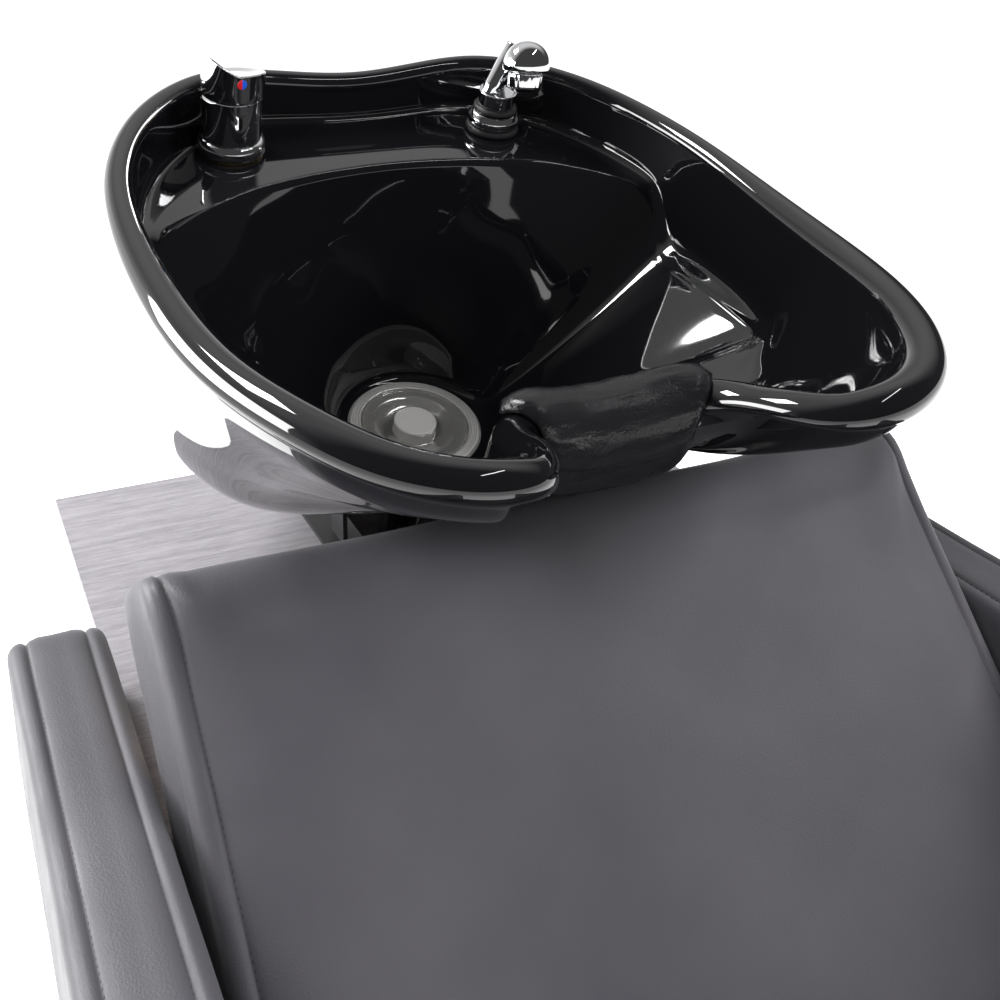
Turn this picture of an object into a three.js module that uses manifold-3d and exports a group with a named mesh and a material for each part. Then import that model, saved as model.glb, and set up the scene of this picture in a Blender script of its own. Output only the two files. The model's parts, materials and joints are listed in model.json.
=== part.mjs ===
// Shampoo backwash unit: a reclined salon seat with slab armrests, a plumbing cabinet behind it,
// and a tilting ceramic bowl with mixer, spray, strainer and neck rest.
// Millimetres, +Z up, +Y towards the bowl, +X to the right.
import * as THREE from 'three';
import { RoundedBoxGeometry } from 'three/addons/geometries/RoundedBoxGeometry.js';
import { mergeVertices } from 'three/addons/utils/BufferGeometryUtils.js';
import Module from 'manifold-3d';

const wasm = await Module();
wasm.setup();

// Driving dimensions
const GAP = 0.3; // clearance between touching pieces
const HALF_LENGTH = 617; // from the middle of the unit to the front of the arms and to the cabinet's back
const CABINET_HALF_WIDTH = 289;
const CABINET_FRONT_Y = 150;
const CABINET_TOP_Z = 585;
const CABINET_FOOT_HEIGHT = 30;
const PANEL = 18; // laminated board thickness
const TOP_OPENING = { halfWidth: 55, front: 405, back: 525 }; // hole for the waste tail in the cabinet's top
const DOOR_HINGE_X = -257;
const DOOR_PULL = { x: 215, z: 420, radius: 19 };
const PIN_RADIUS = 4;
const ARM_INNER_X = 293;
const ARM_THICKNESS = 64;
const ARM_TOP_Z = 650;
const ARM_BOTTOM_Z = 40;
const ARM_REAR_Y = 320;
const SEAT_TOP_Z = 450;
const SEAT_CUSHION_THICKNESS = 100;
const SEAT_FRONT_Y = -612;
const SEAT_REAR_Y = -124;
const SEAT_HALF_WIDTH = 288;
const BACK_ANGLE = THREE.MathUtils.degToRad(44.6); // backrest face, from the horizontal
const BACK_LENGTH = 437;
const BACK_HALF_WIDTH = 286;
const BACK_FOAM = 66;
const BACK_BOARD = 15;
const BACK_TOP = new THREE.Vector3(0, 192, 757); // upper edge of the backrest's front face
const BOWL_TILT = THREE.MathUtils.degToRad(17.5); // forward tilt of the bowl as it stands
const DRAIN = new THREE.Vector3(0, 436, 687); // middle of the bowl's drain opening
const PIVOT = new THREE.Vector3(0, 442, 628); // axis on which the bowl tilts
const WALL = 11; // ceramic thickness
const RIM_RADIUS = 14; // rolled rim at the front
const REAR_RIM_RADIUS = 10;
const HOLE_RADIUS = 46; // drain hole in the ceramic
const FLOOR_RADIUS = 66; // flat around the drain hole
const DECK_HEIGHT = 184; // tap deck above the drain, in the bowl's own frame
const FITTING_X = 120; // mixer and spray, left and right of the middle
const FITTING_V = 170; // mixer and spray, behind the drain
const SHANK_HOLE = 17.5;
const SEAT_RAIL_HEIGHT = 110;
const DECK_ENDS = 79; // angle from the rear at which the tap deck runs out
const FACET_STARTS = 84; // angles between which the basin's side is a flat facet
const FACET_ENDS = 124;
const ROUND = 28; // sides of a turned piece

const MATERIALS = {
  glazed_ceramic: [0x0a0a0c, 0.06, 0.0],
  chrome: [0xd8dadd, 0.05, 1.0],
  brushed_steel: [0xb4b4b0, 0.3, 1.0],
  brass: [0xb99a55, 0.3, 1.0],
  rubber: [0x101012, 0.6, 0.0],
  neck_vinyl: [0x151516, 0.4, 0.0],
  upholstery: [0x47454b, 0.5, 0.0],
  laminate: [0x7f7983, 0.6, 0.0],
  plywood: [0xb08d5e, 0.7, 0.0],
  black_steel: [0x1b1b1d, 0.45, 0.6],
  black_plastic: [0x141416, 0.45, 0.0],
  indicator: [0xb01c20, 0.3, 0.0],
};

// Geometry helpers

function signedVolume(geometry) {
  const p = geometry.attributes.position;
  const index = geometry.index.array;
  const corner = [new THREE.Vector3(), new THREE.Vector3(), new THREE.Vector3()];
  let volume = 0;
  for (let i = 0; i < index.length; i += 3) {
    corner.forEach((c, k) => c.fromBufferAttribute(p, index[i + k]));
    volume += corner[0].dot(corner[1].cross(corner[2]));
  }
  return volume;
}

// Position-only geometry with shared corners and its faces pointing out
function closed(geometry) {
  const bare = new THREE.BufferGeometry();
  bare.setAttribute('position', geometry.attributes.position.clone());
  if (geometry.index) bare.setIndex(geometry.index.clone());
  const merged = mergeVertices(bare, 1e-4);
  const kept = [];
  const index = merged.index.array;
  for (let i = 0; i < index.length; i += 3) {
    const [a, b, c] = [index[i], index[i + 1], index[i + 2]];
    if (a !== b && b !== c && a !== c) kept.push(a, b, c);
  }
  merged.setIndex(kept);
  if (signedVolume(merged) < 0) merged.setIndex(kept.reverse());
  return merged;
}

function manifold(geometry) {
  const g = closed(geometry);
  return new wasm.Manifold(
    new wasm.Mesh({
      numProp: 3,
      vertProperties: new Float32Array(g.attributes.position.array),
      triVerts: new Uint32Array(g.index.array),
    }),
  );
}

function fromManifold(solid) {
  const mesh = solid.getMesh();
  const geometry = new THREE.BufferGeometry();
  geometry.setAttribute('position', new THREE.BufferAttribute(new Float32Array(mesh.vertProperties), 3));
  geometry.setIndex(Array.from(mesh.triVerts));
  return geometry;
}

function cut(geometry, ...tools) {
  return fromManifold(tools.reduce((solid, tool) => solid.subtract(manifold(tool)), manifold(geometry)));
}

function join(geometry, ...others) {
  return fromManifold(others.reduce((solid, other) => solid.add(manifold(other)), manifold(geometry)));
}

// A box from its lowest to its highest corner
function block(low, high) {
  const size = high.map((value, i) => value - low[i]);
  const geometry = new THREE.BoxGeometry(...size);
  return geometry.translate(...low.map((value, i) => value + size[i] / 2));
}

// A cushion-like box with rounded edges, from its lowest to its highest corner
function pad(low, high, radius) {
  const size = high.map((value, i) => value - low[i]);
  const geometry = new RoundedBoxGeometry(...size, 2, radius);
  return geometry.translate(...low.map((value, i) => value + size[i] / 2));
}

// A turned piece on the Z axis, from [radius, height] pairs.
// The pairs start and end on the axis, or close on themselves.
function turned(profile, segments = ROUND) {
  const points = profile.map(([radius, height]) => new THREE.Vector2(radius, height));
  return new THREE.LatheGeometry(points, segments).rotateX(Math.PI / 2);
}

function rod(radius, low, high, segments = ROUND) {
  return turned([[0, low], [radius, low], [radius, high], [0, high]], segments);
}

// A ring on the Z axis
function ring(inner, outer, low, high, segments = ROUND) {
  return turned([[inner, low], [outer, low], [outer, high], [inner, high], [inner, low]], segments);
}

// A nut on the Z axis: flat-sided outside, round inside
function nut(bore, radius, low, high, sides, boreSides) {
  return cut(rod(radius, low, high, sides), rod(bore, low - 1, high + 1, boreSides));
}

// A rod along X
function crossRod(radius, low, high, y, z, segments = ROUND) {
  return rod(radius, low, high, segments).rotateY(Math.PI / 2).translate(0, y, z);
}

const unit = new THREE.Group();

function place(parent, name, geometry, material) {
  const [color, roughness, metalness] = MATERIALS[material];
  const look = new THREE.MeshStandardMaterial({ color, roughness, metalness });
  const mesh = new THREE.Mesh(closed(geometry), look);
  mesh.name = name;
  parent.add(mesh);
  return mesh;
}

// Cabinet

function cabinet() {
  const x = CABINET_HALF_WIDTH;
  const inside = x - PANEL - GAP;
  const back = HALF_LENGTH;
  const low = CABINET_FOOT_HEIGHT;
  const underTop = CABINET_TOP_Z - PANEL - GAP;
  const sidePanel = (side) => [
    [Math.min(side * x, side * (x - PANEL)), CABINET_FRONT_Y, low],
    [Math.max(side * x, side * (x - PANEL)), back, underTop],
  ];
  place(unit, 'cabinet_left_panel', block(...sidePanel(-1)), 'laminate');
  place(unit, 'cabinet_right_panel', block(...sidePanel(1)), 'laminate');
  const front = block([-inside, CABINET_FRONT_Y, low], [inside, CABINET_FRONT_Y + PANEL, underTop]);
  place(unit, 'cabinet_front_panel', front, 'laminate');
  const baseFront = CABINET_FRONT_Y + PANEL + GAP;
  const base = block([-inside, baseFront, low], [inside, back, low + PANEL]);
  place(unit, 'cabinet_base_panel', base, 'laminate');
  const { halfWidth, front: openFront, back: openBack } = TOP_OPENING;
  const opening = block(
    [-halfWidth, openFront, CABINET_TOP_Z - 2 * PANEL],
    [halfWidth, openBack, CABINET_TOP_Z + PANEL],
  );
  const top = block([-x, CABINET_FRONT_Y, CABINET_TOP_Z - PANEL], [x, back, CABINET_TOP_Z]);
  place(unit, 'cabinet_top_panel', cut(top, opening), 'laminate');
  const railLow = underTop - 60;
  const rail = block([-inside, back - 3 * PANEL, railLow], [inside, back - 2 * PANEL, underTop]);
  place(unit, 'cabinet_rear_rail', rail, 'laminate');
  cabinetFeet();
  rearDoor(back, low + PANEL, underTop);
}

function cabinetFeet() {
  const stemTop = CABINET_FOOT_HEIGHT - GAP;
  const foot = [[0, 0], [22, 0], [22, 6], [16, 9], [8, 10], [8, stemTop], [0, stemTop]];
  const spots = [
    ['front_left', -240, 200], ['front_right', 240, 200], ['rear_left', -240, 570], ['rear_right', 240, 570],
  ];
  for (const [name, x, y] of spots) {
    place(unit, `cabinet_foot_${name}`, turned(foot, 20), 'black_plastic').position.set(x, y, 0);
  }
}

// The access door sits between the side panels and swings on a pin in its lower and upper edges.
function rearDoor(back, floorZ, ceilingZ) {
  const hingeX = DOOR_HINGE_X;
  const hingeY = back - PANEL / 2;
  const pin = PIN_RADIUS;
  const clear = 4;
  const low = floorZ + clear;
  const high = ceilingZ - clear;
  const slab = block([hingeX - 8, back - PANEL, low], [-hingeX + 9, back, high]);
  const socket = (from, to) => rod(pin + GAP, from, to, 16).translate(hingeX, hingeY, 0);
  const { x, z, radius } = DOOR_PULL;
  const pull = rod(radius, -PANEL, PANEL, 24).rotateX(Math.PI / 2).translate(x, back, z);
  const door = cut(slab, socket(low - 5, low + 25), socket(high - 25, high + 5), pull);
  place(unit, 'rear_door', door, 'laminate');
  const pinLower = turned([[0, 0], [9, 0], [9, 3], [pin, 3], [pin, 24], [0, 24]], 16);
  const pinUpper = turned([[0, 0], [9, 0], [9, -3], [pin, -3], [pin, -24], [0, -24]], 16);
  place(unit, 'door_pivot_lower', pinLower.translate(hingeX, hingeY, floorZ + GAP), 'brushed_steel');
  place(unit, 'door_pivot_upper', pinUpper.translate(hingeX, hingeY, ceilingZ - GAP), 'brushed_steel');
  const grommet = ring(radius - 4, radius - GAP, -PANEL + 1, 0, 24).rotateX(Math.PI / 2);
  grommet.translate(x, back - PANEL, z);
  place(unit, 'door_finger_ring', grommet, 'black_plastic');
}

// Seat, backrest and armrests

function armrests() {
  for (const [name, side] of [['left', -1], ['right', 1]]) {
    const inner = side * ARM_INNER_X;
    const outer = side * (ARM_INNER_X + ARM_THICKNESS);
    const low = [Math.min(inner, outer), -HALF_LENGTH, ARM_BOTTOM_Z];
    const high = [Math.max(inner, outer), ARM_REAR_Y, ARM_TOP_Z];
    place(unit, `${name}_armrest`, pad(low, high, 10), 'upholstery');
    const footX = side * (ARM_INNER_X + ARM_THICKNESS / 2);
    for (const [end, y] of [['front', -HALF_LENGTH + 60], ['rear', ARM_REAR_Y - 60]]) {
      const foot = turned([[0, 0], [20, 0], [22, 3], [24, ARM_BOTTOM_Z - GAP], [0, ARM_BOTTOM_Z - GAP]], 20);
      place(unit, `arm_foot_${end}_${name}`, foot, 'black_plastic').position.set(footX, y, 0);
    }
  }
}

function seat() {
  const reach = ARM_INNER_X - GAP;
  const boardTop = SEAT_TOP_Z - SEAT_CUSHION_THICKNESS - GAP;
  const boardLow = boardTop - PANEL;
  const railTop = boardLow - GAP;
  const railLow = railTop - SEAT_RAIL_HEIGHT;
  const boardFront = SEAT_FRONT_Y + 37 + GAP;
  const frontRail = block([-reach, SEAT_FRONT_Y + 12, railLow], [reach, SEAT_FRONT_Y + 37, boardTop]);
  place(unit, 'seat_front_rail', frontRail, 'upholstery');
  place(unit, 'seat_rear_rail', block([-reach, -110, railLow], [reach, -85, railTop]), 'plywood');
  place(unit, 'seat_board', block([-reach, boardFront, boardLow], [reach, -60, boardTop]), 'plywood');
  const low = [-SEAT_HALF_WIDTH, SEAT_FRONT_Y, boardTop + GAP];
  place(unit, 'seat_cushion', pad(low, [SEAT_HALF_WIDTH, SEAT_REAR_Y, SEAT_TOP_Z], 16), 'upholstery');
}

// The backrest is built lying in its own frame.
// Y runs up its length, Z out of its front face, and the origin is at its upper edge.
function backrest() {
  const group = new THREE.Group();
  group.position.copy(BACK_TOP);
  group.rotation.x = BACK_ANGLE;
  unit.add(group);
  const foam = pad([-BACK_HALF_WIDTH, -BACK_LENGTH, -BACK_FOAM], [BACK_HALF_WIDTH, 0, 0], 14);
  place(group, 'backrest_cushion', foam, 'upholstery');
  const boardTop = -BACK_FOAM - GAP;
  const boardLow = boardTop - BACK_BOARD;
  const boardHalf = BACK_HALF_WIDTH - 8;
  const board = block([-boardHalf, -BACK_LENGTH + 8, boardLow], [boardHalf, -8, boardTop]);
  place(group, 'back_board', board, 'plywood');
  const reach = ARM_INNER_X - GAP;
  for (const [name, from] of [['back_lower_rail', -BACK_LENGTH + 30], ['back_upper_rail', -250]]) {
    const rail = block([-reach, from, boardLow - GAP - 30], [reach, from + 60, boardLow - GAP]);
    place(group, name, rail, 'plywood');
  }
}

// Tilt mechanism

const EAR_X = 66; // outer face of the cradle's ears
const EAR_WIDTH = 30;
const PLATE = 4;
const BOLT_RADIUS = 5;
const BOLT_HEAD = 6; // thickness of the bolts' heads and of the left bolt's nut
const BOLT_HEAD_RADIUS = 9;
const RIGHT_BOLT_END = 100; // it carries the lock knob

// An ear in the YZ plane, PLATE thick from its outer face, round about the pivot and square at its root
function ear(outerX, side, rootLow, rootHigh, boltClearance) {
  const from = Math.min(side * outerX, side * (outerX - PLATE));
  const strip = block([from, -EAR_WIDTH / 2, rootLow], [from + PLATE, EAR_WIDTH / 2, rootHigh]);
  const eye = crossRod(EAR_WIDTH / 2, from, from + PLATE, 0, 0, 24);
  const hole = crossRod(BOLT_RADIUS + boltClearance, from - 1, from + PLATE + 1, 0, 0, 16);
  return cut(join(strip, eye), hole);
}

// A pivot bolt's six-sided head, inside the cradle's ear on this side
function boltHead(side) {
  const from = side * (EAR_X - PLATE - GAP);
  const to = from - side * BOLT_HEAD;
  return crossRod(BOLT_HEAD_RADIUS, Math.min(from, to), Math.max(from, to), 0, 0, 6);
}

function leftBolt(outer) {
  const shank = crossRod(BOLT_RADIUS, -outer - BOLT_HEAD - 1, BOLT_HEAD + 1 + PLATE - EAR_X, 0, 0, 16);
  const nutFrom = -outer - GAP;
  const fastener = crossRod(BOLT_HEAD_RADIUS, nutFrom - BOLT_HEAD, nutFrom, 0, 0, 6);
  return join(shank, boltHead(-1), fastener);
}

function rightBolt() {
  const shank = crossRod(BOLT_RADIUS, EAR_X - PLATE - BOLT_HEAD - 1, RIGHT_BOLT_END, 0, 0, 16);
  return join(shank, boltHead(1));
}

function tiltBase() {
  const plateLow = CABINET_TOP_Z + GAP - PIVOT.z;
  let bracket = block([-85, -75, plateLow], [85, 105, plateLow + PLATE]);
  const outer = EAR_X + PLATE + 2 * GAP;
  for (const side of [-1, 1]) bracket = join(bracket, ear(outer, side, plateLow + 1, 0, GAP));
  bracket = cut(bracket, block([-50, -38, plateLow - 5], [50, 82, plateLow + 10]));
  const group = new THREE.Group();
  group.position.copy(PIVOT);
  unit.add(group);
  place(group, 'tilt_base_bracket', bracket, 'black_steel');
  let number = 1;
  for (const x of [-76, 76]) {
    for (const y of [-63, 93]) {
      const head = turned([[0, 0], [6, 0], [6, 2], [3, 4], [0, 4]], 12);
      head.translate(x, y, plateLow + PLATE + GAP);
      place(group, `bracket_screw_${number}`, head, 'brushed_steel');
      number += 1;
    }
  }
  place(group, 'tilt_pivot_bolt_left', leftBolt(outer), 'brushed_steel');
  place(group, 'tilt_pivot_bolt_right', rightBolt(), 'brushed_steel');
  place(group, 'tilt_lock_knob', lockKnob(outer + GAP), 'black_plastic');
}

// A six-lobed knob on the right pivot bolt
function lockKnob(innerX) {
  const lobes = 6;
  const lobeDepth = 2.5;
  const radius = 20;
  const shape = new THREE.Shape();
  const steps = 36;
  for (let i = 0; i < steps; i += 1) {
    const angle = (i / steps) * Math.PI * 2;
    const r = radius + lobeDepth * Math.cos(lobes * angle);
    if (i === 0) shape.moveTo(r * Math.cos(angle), r * Math.sin(angle));
    else shape.lineTo(r * Math.cos(angle), r * Math.sin(angle));
  }
  const grip = new THREE.ExtrudeGeometry(shape, { depth: 18, bevelEnabled: false }).translate(0, 0, 8);
  const hub = rod(11, 0, 10, 20);
  const bore = rod(BOLT_RADIUS + GAP, -1, 40, 16);
  return cut(join(grip, hub), bore).rotateY(Math.PI / 2).translate(innerX, 0, 0);
}

// Everything that tilts is built in the bowl's frame.
// Its origin is at the drain, Y runs to the rear and Z along the drain's axis.
const tilting = new THREE.Group();
tilting.position.copy(DRAIN);
tilting.rotation.x = BOWL_TILT;
unit.add(tilting);

function cradle() {
  const pivot = PIVOT.clone().sub(DRAIN).applyAxisAngle(new THREE.Vector3(1, 0, 0), -BOWL_TILT);
  const plateTop = -WALL - 6 - 2 * GAP;
  const plate = block([-EAR_X, -70, plateTop - PLATE], [EAR_X, 70, plateTop]);
  const earRoot = plateTop - 1 - pivot.z;
  let body = plate;
  for (const side of [-1, 1]) {
    body = join(body, ear(EAR_X, side, 0, earRoot, GAP).translate(0, pivot.y, pivot.z));
  }
  place(tilting, 'tilt_cradle', cut(body, rod(HOLE_RADIUS + 2, -60, 5, 32)), 'black_steel');
  place(tilting, 'bowl_gasket', ring(HOLE_RADIUS + 3, 66, -WALL - GAP - 6, -WALL - GAP, 32), 'rubber');
}

// Bowl

// Half of the rim's outer edge, from the rear middle round to the neck notch: [x, y, height of the rim's top]
const RIM = [
  [0, 226, 223], [62, 231, 226], [118, 230, 230], [166, 201, 234], [207, 154, 235], [236, 91, 235],
  [249, 19, 238], [251, -81, 246], [240, -185, 261], [213, -262, 275], [177, -312, 280], [128, -335, 279],
  [90, -325, 271], [69, -286, 254], [57, -256, 233], [30, -251, 222], [0, -251, 220],
];
const BOWL_STEPS = 88; // sections round the bowl
const LIP_RADIUS = 410; // plan radius of the deck's raised lip
const LIP_FRONT = 104; // lip ahead of the rear wall, behind the drain
const FACET_X = 209; // where the basin's sloping side meets the upright wall
// The top edge of the basin's slope by angle from the rear: [angle, radius or 0 for the lip's arc, height]
const SLOPE_TOP = [
  [0, 0, 199], [56, 0, 199], [71, 0, 193], [79, 0, 181], [84, 211, 136], [124, 252, 161],
  [127, 218, 148], [132, 202, 146], [138, 190, 140], [145, 180, 132], [157, 172, 124], [180, 166, 118],
];
// The outer skirt by angle from the rear: [angle, knee radius, knee height, foot radius]
const SKIRT = [
  [0, 203, 110, 156], [45, 236, 110, 184], [71, 240, 105, 206], [84, 236, 100, 208], [90, 233, 95, 208],
  [124, 250, 112, 214], [140, 245, 135, 190], [150, 233, 136, 179], [160, 222, 147, 168],
  [170, 217, 152, 166], [180, 212, 152, 165],
];
// The roof of the hollow between skirt and basin: [angle, outer radius, its height, inner radius, its height]
const HOLLOW = [
  [0, 200, 172, 122, 172], [35, 236, 172, 130, 172], [45, 236, 172, 134, 172], [71, 228, 170, 208, 162],
  [79, 224, 150, 212, 140], [84, 222, 113, 199, 104], [90, 219, 110, 195, 100], [124, 234, 135, 222, 124],
  [132, 224, 130, 196, 118], [140, 216, 126, 180, 108], [150, 204, 120, 170, 101], [160, 194, 116, 165, 97],
  [170, 186, 114, 160, 94], [180, 180, 112, 156, 92],
];

function rimCurve() {
  const right = RIM.slice(1, -1);
  const left = right.map(([x, y, z]) => [-x, y, z]).reverse();
  const loop = [RIM[0], ...right, RIM[RIM.length - 1], ...left];
  return new THREE.CatmullRomCurve3(loop.map((p) => new THREE.Vector3(...p)), true, 'catmullrom', 0.5);
}

// The rolled rim is slimmer behind the basin than at the front
function rimRadiusAt(edge) {
  const angle = THREE.MathUtils.radToDeg(Math.atan2(Math.abs(edge.x), edge.y));
  return THREE.MathUtils.lerp(REAR_RIM_RADIUS, RIM_RADIUS, THREE.MathUtils.smoothstep(angle, 75, 125));
}

function interpolate(table, angle, column) {
  const next = Math.max(1, table.findIndex((row) => row[0] >= angle));
  const [a, b] = [table[next - 1], table[next]];
  return THREE.MathUtils.mapLinear(angle, a[0], b[0], a[column], b[column]);
}

function lipRadius(angle) {
  const back = LIP_FRONT - LIP_RADIUS;
  const radians = THREE.MathUtils.degToRad(angle);
  return back * Math.cos(radians) + Math.sqrt(LIP_RADIUS ** 2 - (back * Math.sin(radians)) ** 2);
}

// Radius and height of the basin slope's top edge
function slopeTop(angle) {
  const height = interpolate(SLOPE_TOP, angle, 2);
  if (angle <= DECK_ENDS) return [lipRadius(angle), height];
  if (angle <= FACET_STARTS) {
    const atFacet = interpolate(SLOPE_TOP, FACET_STARTS, 1);
    return [THREE.MathUtils.mapLinear(angle, DECK_ENDS, FACET_STARTS, lipRadius(DECK_ENDS), atFacet), height];
  }
  if (angle <= FACET_ENDS) return [FACET_X / Math.sin(THREE.MathUtils.degToRad(angle)), height];
  return [interpolate(SLOPE_TOP, angle, 1), height];
}

// One section of the bowl is made of [radius, height] pairs along the ray at this angle.
// It starts at the drain hole's upper edge and climbs the basin.
// After the rolled rim it returns down the skirt and along the basin's underside.
function basinSide(angle, innerRadius, rimHeight, rimRadius) {
  const [lip, lipHeight] = slopeTop(angle);
  const onDeck = angle < DECK_ENDS;
  const front = THREE.MathUtils.smoothstep(angle, 130, 158); // towards the neck the shelf becomes a slope
  const steepness = THREE.MathUtils.lerp(0.75, 1.35, THREE.MathUtils.smoothstep(angle, 160, 178));
  const shelfStart = onDeck ? lip + 12 : THREE.MathUtils.lerp(lip, innerRadius, 0.25);
  const shelf = onDeck ? DECK_HEIGHT : lipHeight + 4 + 0.6 * (shelfStart - lip) * front;
  const shelfEnd = onDeck ? innerRadius - 1.5 : THREE.MathUtils.lerp(shelfStart, innerRadius, 0.7);
  const climb = THREE.MathUtils.lerp(10, steepness * (shelfEnd - shelfStart), front);
  const wallFoot = onDeck ? shelf : shelf + climb;
  const middle = THREE.MathUtils.lerp(FLOOR_RADIUS, lip, 0.5);
  const middleHeight = angle < FACET_STARTS ? lipHeight * 0.6 : lipHeight * 0.5;
  return [
    [HOLE_RADIUS, 0], [FLOOR_RADIUS, 0], [angle < 60 ? middle - 6 : middle, middleHeight],
    [lip - 3, lipHeight - 4], [lip + 2, lipHeight], [shelfStart, shelf], [shelfEnd, wallFoot],
    [innerRadius - (onDeck ? 0.5 : 3), THREE.MathUtils.lerp(wallFoot, rimHeight - rimRadius, 0.5)],
  ];
}

function skirtSide(angle, innerRadius, rimHeight, rimRadius) {
  const radians = THREE.MathUtils.degToRad(angle);
  const [knee, kneeHeight, foot] = [1, 2, 3].map((column) => interpolate(SKIRT, angle, column));
  const footHeight = 24 - 0.315 * foot * Math.cos(radians);
  const outerTop = innerRadius + rimRadius * 1.5;
  const top = rimHeight - 2.4 * rimRadius;
  const hollow = [1, 2, 3, 4].map((column) => interpolate(HOLLOW, angle, column));
  const [roof, roofHeight, inner, innerHeight] = hollow;
  return [
    [outerTop, top], [(outerTop + knee) / 2 + 3, (top + kneeHeight) / 2 - 8], [knee, kneeHeight],
    [(knee + foot) / 2 + 3, (kneeHeight + footHeight) / 2 - 4], [foot, footHeight], [foot - WALL, footHeight],
    [(knee + foot) / 2 - WALL, Math.min((kneeHeight + footHeight) / 2, roofHeight - 14)],
    [Math.min(knee - WALL, roof + 2), Math.min(kneeHeight, roofHeight) - 4],
    [roof, roofHeight], [inner, innerHeight], [(FLOOR_RADIUS + inner) / 2 + 10, innerHeight * 0.42],
    [FLOOR_RADIUS + 8, -WALL], [HOLE_RADIUS, -WALL],
  ];
}

function bowlRing(curve, t) {
  const edge = curve.getPoint(t);
  const tangent = curve.getTangent(t);
  const inward = new THREE.Vector3(tangent.y, -tangent.x, 0).normalize();
  const rimRadius = rimRadiusAt(edge);
  const inner = edge.clone().addScaledVector(inward, 2 * rimRadius);
  const angle = THREE.MathUtils.radToDeg(Math.atan2(Math.abs(inner.x), inner.y));
  const radius = Math.hypot(inner.x, inner.y);
  const ray = new THREE.Vector3(inner.x / radius, inner.y / radius, 0);
  const onRay = ([r, z]) => new THREE.Vector3(ray.x * r, ray.y * r, z);
  const tube = [];
  for (let i = 0; i <= 6; i += 1) {
    const turn = (i / 6) * Math.PI;
    const reach = rimRadius * (1 + Math.cos(turn));
    const height = edge.z - rimRadius + rimRadius * Math.sin(turn);
    const point = edge.clone().addScaledVector(inward, reach);
    tube.push(point.setZ(height));
  }
  const basin = basinSide(angle, radius, edge.z, rimRadius).map(onRay);
  const skirt = skirtSide(angle, radius, edge.z, rimRadius).map(onRay);
  return [...basin, ...tube, ...skirt];
}

function bowlShell() {
  const curve = rimCurve();
  const rings = Array.from({ length: BOWL_STEPS }, (_, i) => bowlRing(curve, i / BOWL_STEPS));
  const count = rings[0].length;
  const positions = rings.flat().flatMap((p) => [p.x, p.y, p.z]);
  const index = [];
  for (let i = 0; i < BOWL_STEPS; i += 1) {
    const next = (i + 1) % BOWL_STEPS;
    for (let j = 0; j < count; j += 1) {
      const up = (j + 1) % count;
      const corners = [i * count + j, next * count + j, next * count + up, i * count + up];
      index.push(corners[0], corners[1], corners[2], corners[0], corners[2], corners[3]);
    }
  }
  const geometry = new THREE.BufferGeometry();
  geometry.setAttribute('position', new THREE.Float32BufferAttribute(positions, 3));
  geometry.setIndex(index);
  return geometry;
}

function bowl() {
  const drill = rod(SHANK_HOLE, DECK_HEIGHT - 60, DECK_HEIGHT + 20, 24);
  const hole = (x) => drill.clone().translate(x, FITTING_V, 0);
  place(tilting, 'bowl', cut(bowlShell(), hole(-FITTING_X), hole(FITTING_X)), 'glazed_ceramic');
}

// Neck rest: a padded sleeve over the rim, between the two horns of the notch.
// It follows the rim from inside the bowl round to the front, and then hangs straight down.
function neckRest() {
  const curve = rimCurve();
  const middle = (RIM.length - 1) / (2 * RIM.length - 2);
  const reach = 0.064;
  const stations = 9;
  const inside = RIM_RADIUS + 2;
  const outside = RIM_RADIUS + 13;
  const [from, to] = [-0.45 * Math.PI, 0.82 * Math.PI];
  const hangsFrom = -0.2 * Math.PI;
  const turns = 11;
  const sections = [];
  for (let i = 0; i <= stations; i += 1) {
    const t = middle + THREE.MathUtils.mapLinear(i, 0, stations, -reach, reach);
    const edge = curve.getPoint(t);
    const tangent = curve.getTangent(t);
    const inward = new THREE.Vector3(tangent.y, -tangent.x, 0).normalize();
    const centre = edge.clone().addScaledVector(inward, RIM_RADIUS).setZ(edge.z - RIM_RADIUS);
    const arc = (radius, start, end) => Array.from({ length: turns + 1 }, (_, k) => {
      const turn = THREE.MathUtils.lerp(start, end, k / turns);
      const round = Math.max(turn, hangsFrom);
      const point = centre.clone().addScaledVector(inward, -radius * Math.cos(round));
      return point.setZ(centre.z + radius * Math.sin(round) + (outside - 1) * (turn - round));
    });
    sections.push([...arc(outside, from, to), ...arc(inside, to, from)]);
  }
  place(tilting, 'neck_rest', loft(sections), 'neck_vinyl');
}

// A closed body through equal rings of points, with flat ends
function loft(sections) {
  const count = sections[0].length;
  const positions = sections.flat().flatMap((p) => [p.x, p.y, p.z]);
  const index = [];
  for (let i = 0; i < sections.length - 1; i += 1) {
    for (let j = 0; j < count; j += 1) {
      const up = (j + 1) % count;
      const [a, b, c, d] = [i * count + j, (i + 1) * count + j, (i + 1) * count + up, i * count + up];
      index.push(a, b, c, a, c, d);
    }
  }
  // Each end is a band of quads between the ring's outer half and its inner half
  const half = count / 2;
  const last = (sections.length - 1) * count;
  for (let j = 0; j < half - 1; j += 1) {
    const [a, b, c, d] = [j, j + 1, count - 2 - j, count - 1 - j];
    index.push(a, b, c, a, c, d);
    index.push(last + a, last + c, last + b, last + a, last + d, last + c);
  }
  const geometry = new THREE.BufferGeometry();
  geometry.setAttribute('position', new THREE.Float32BufferAttribute(positions, 3));
  geometry.setIndex(index);
  return geometry;
}

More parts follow.
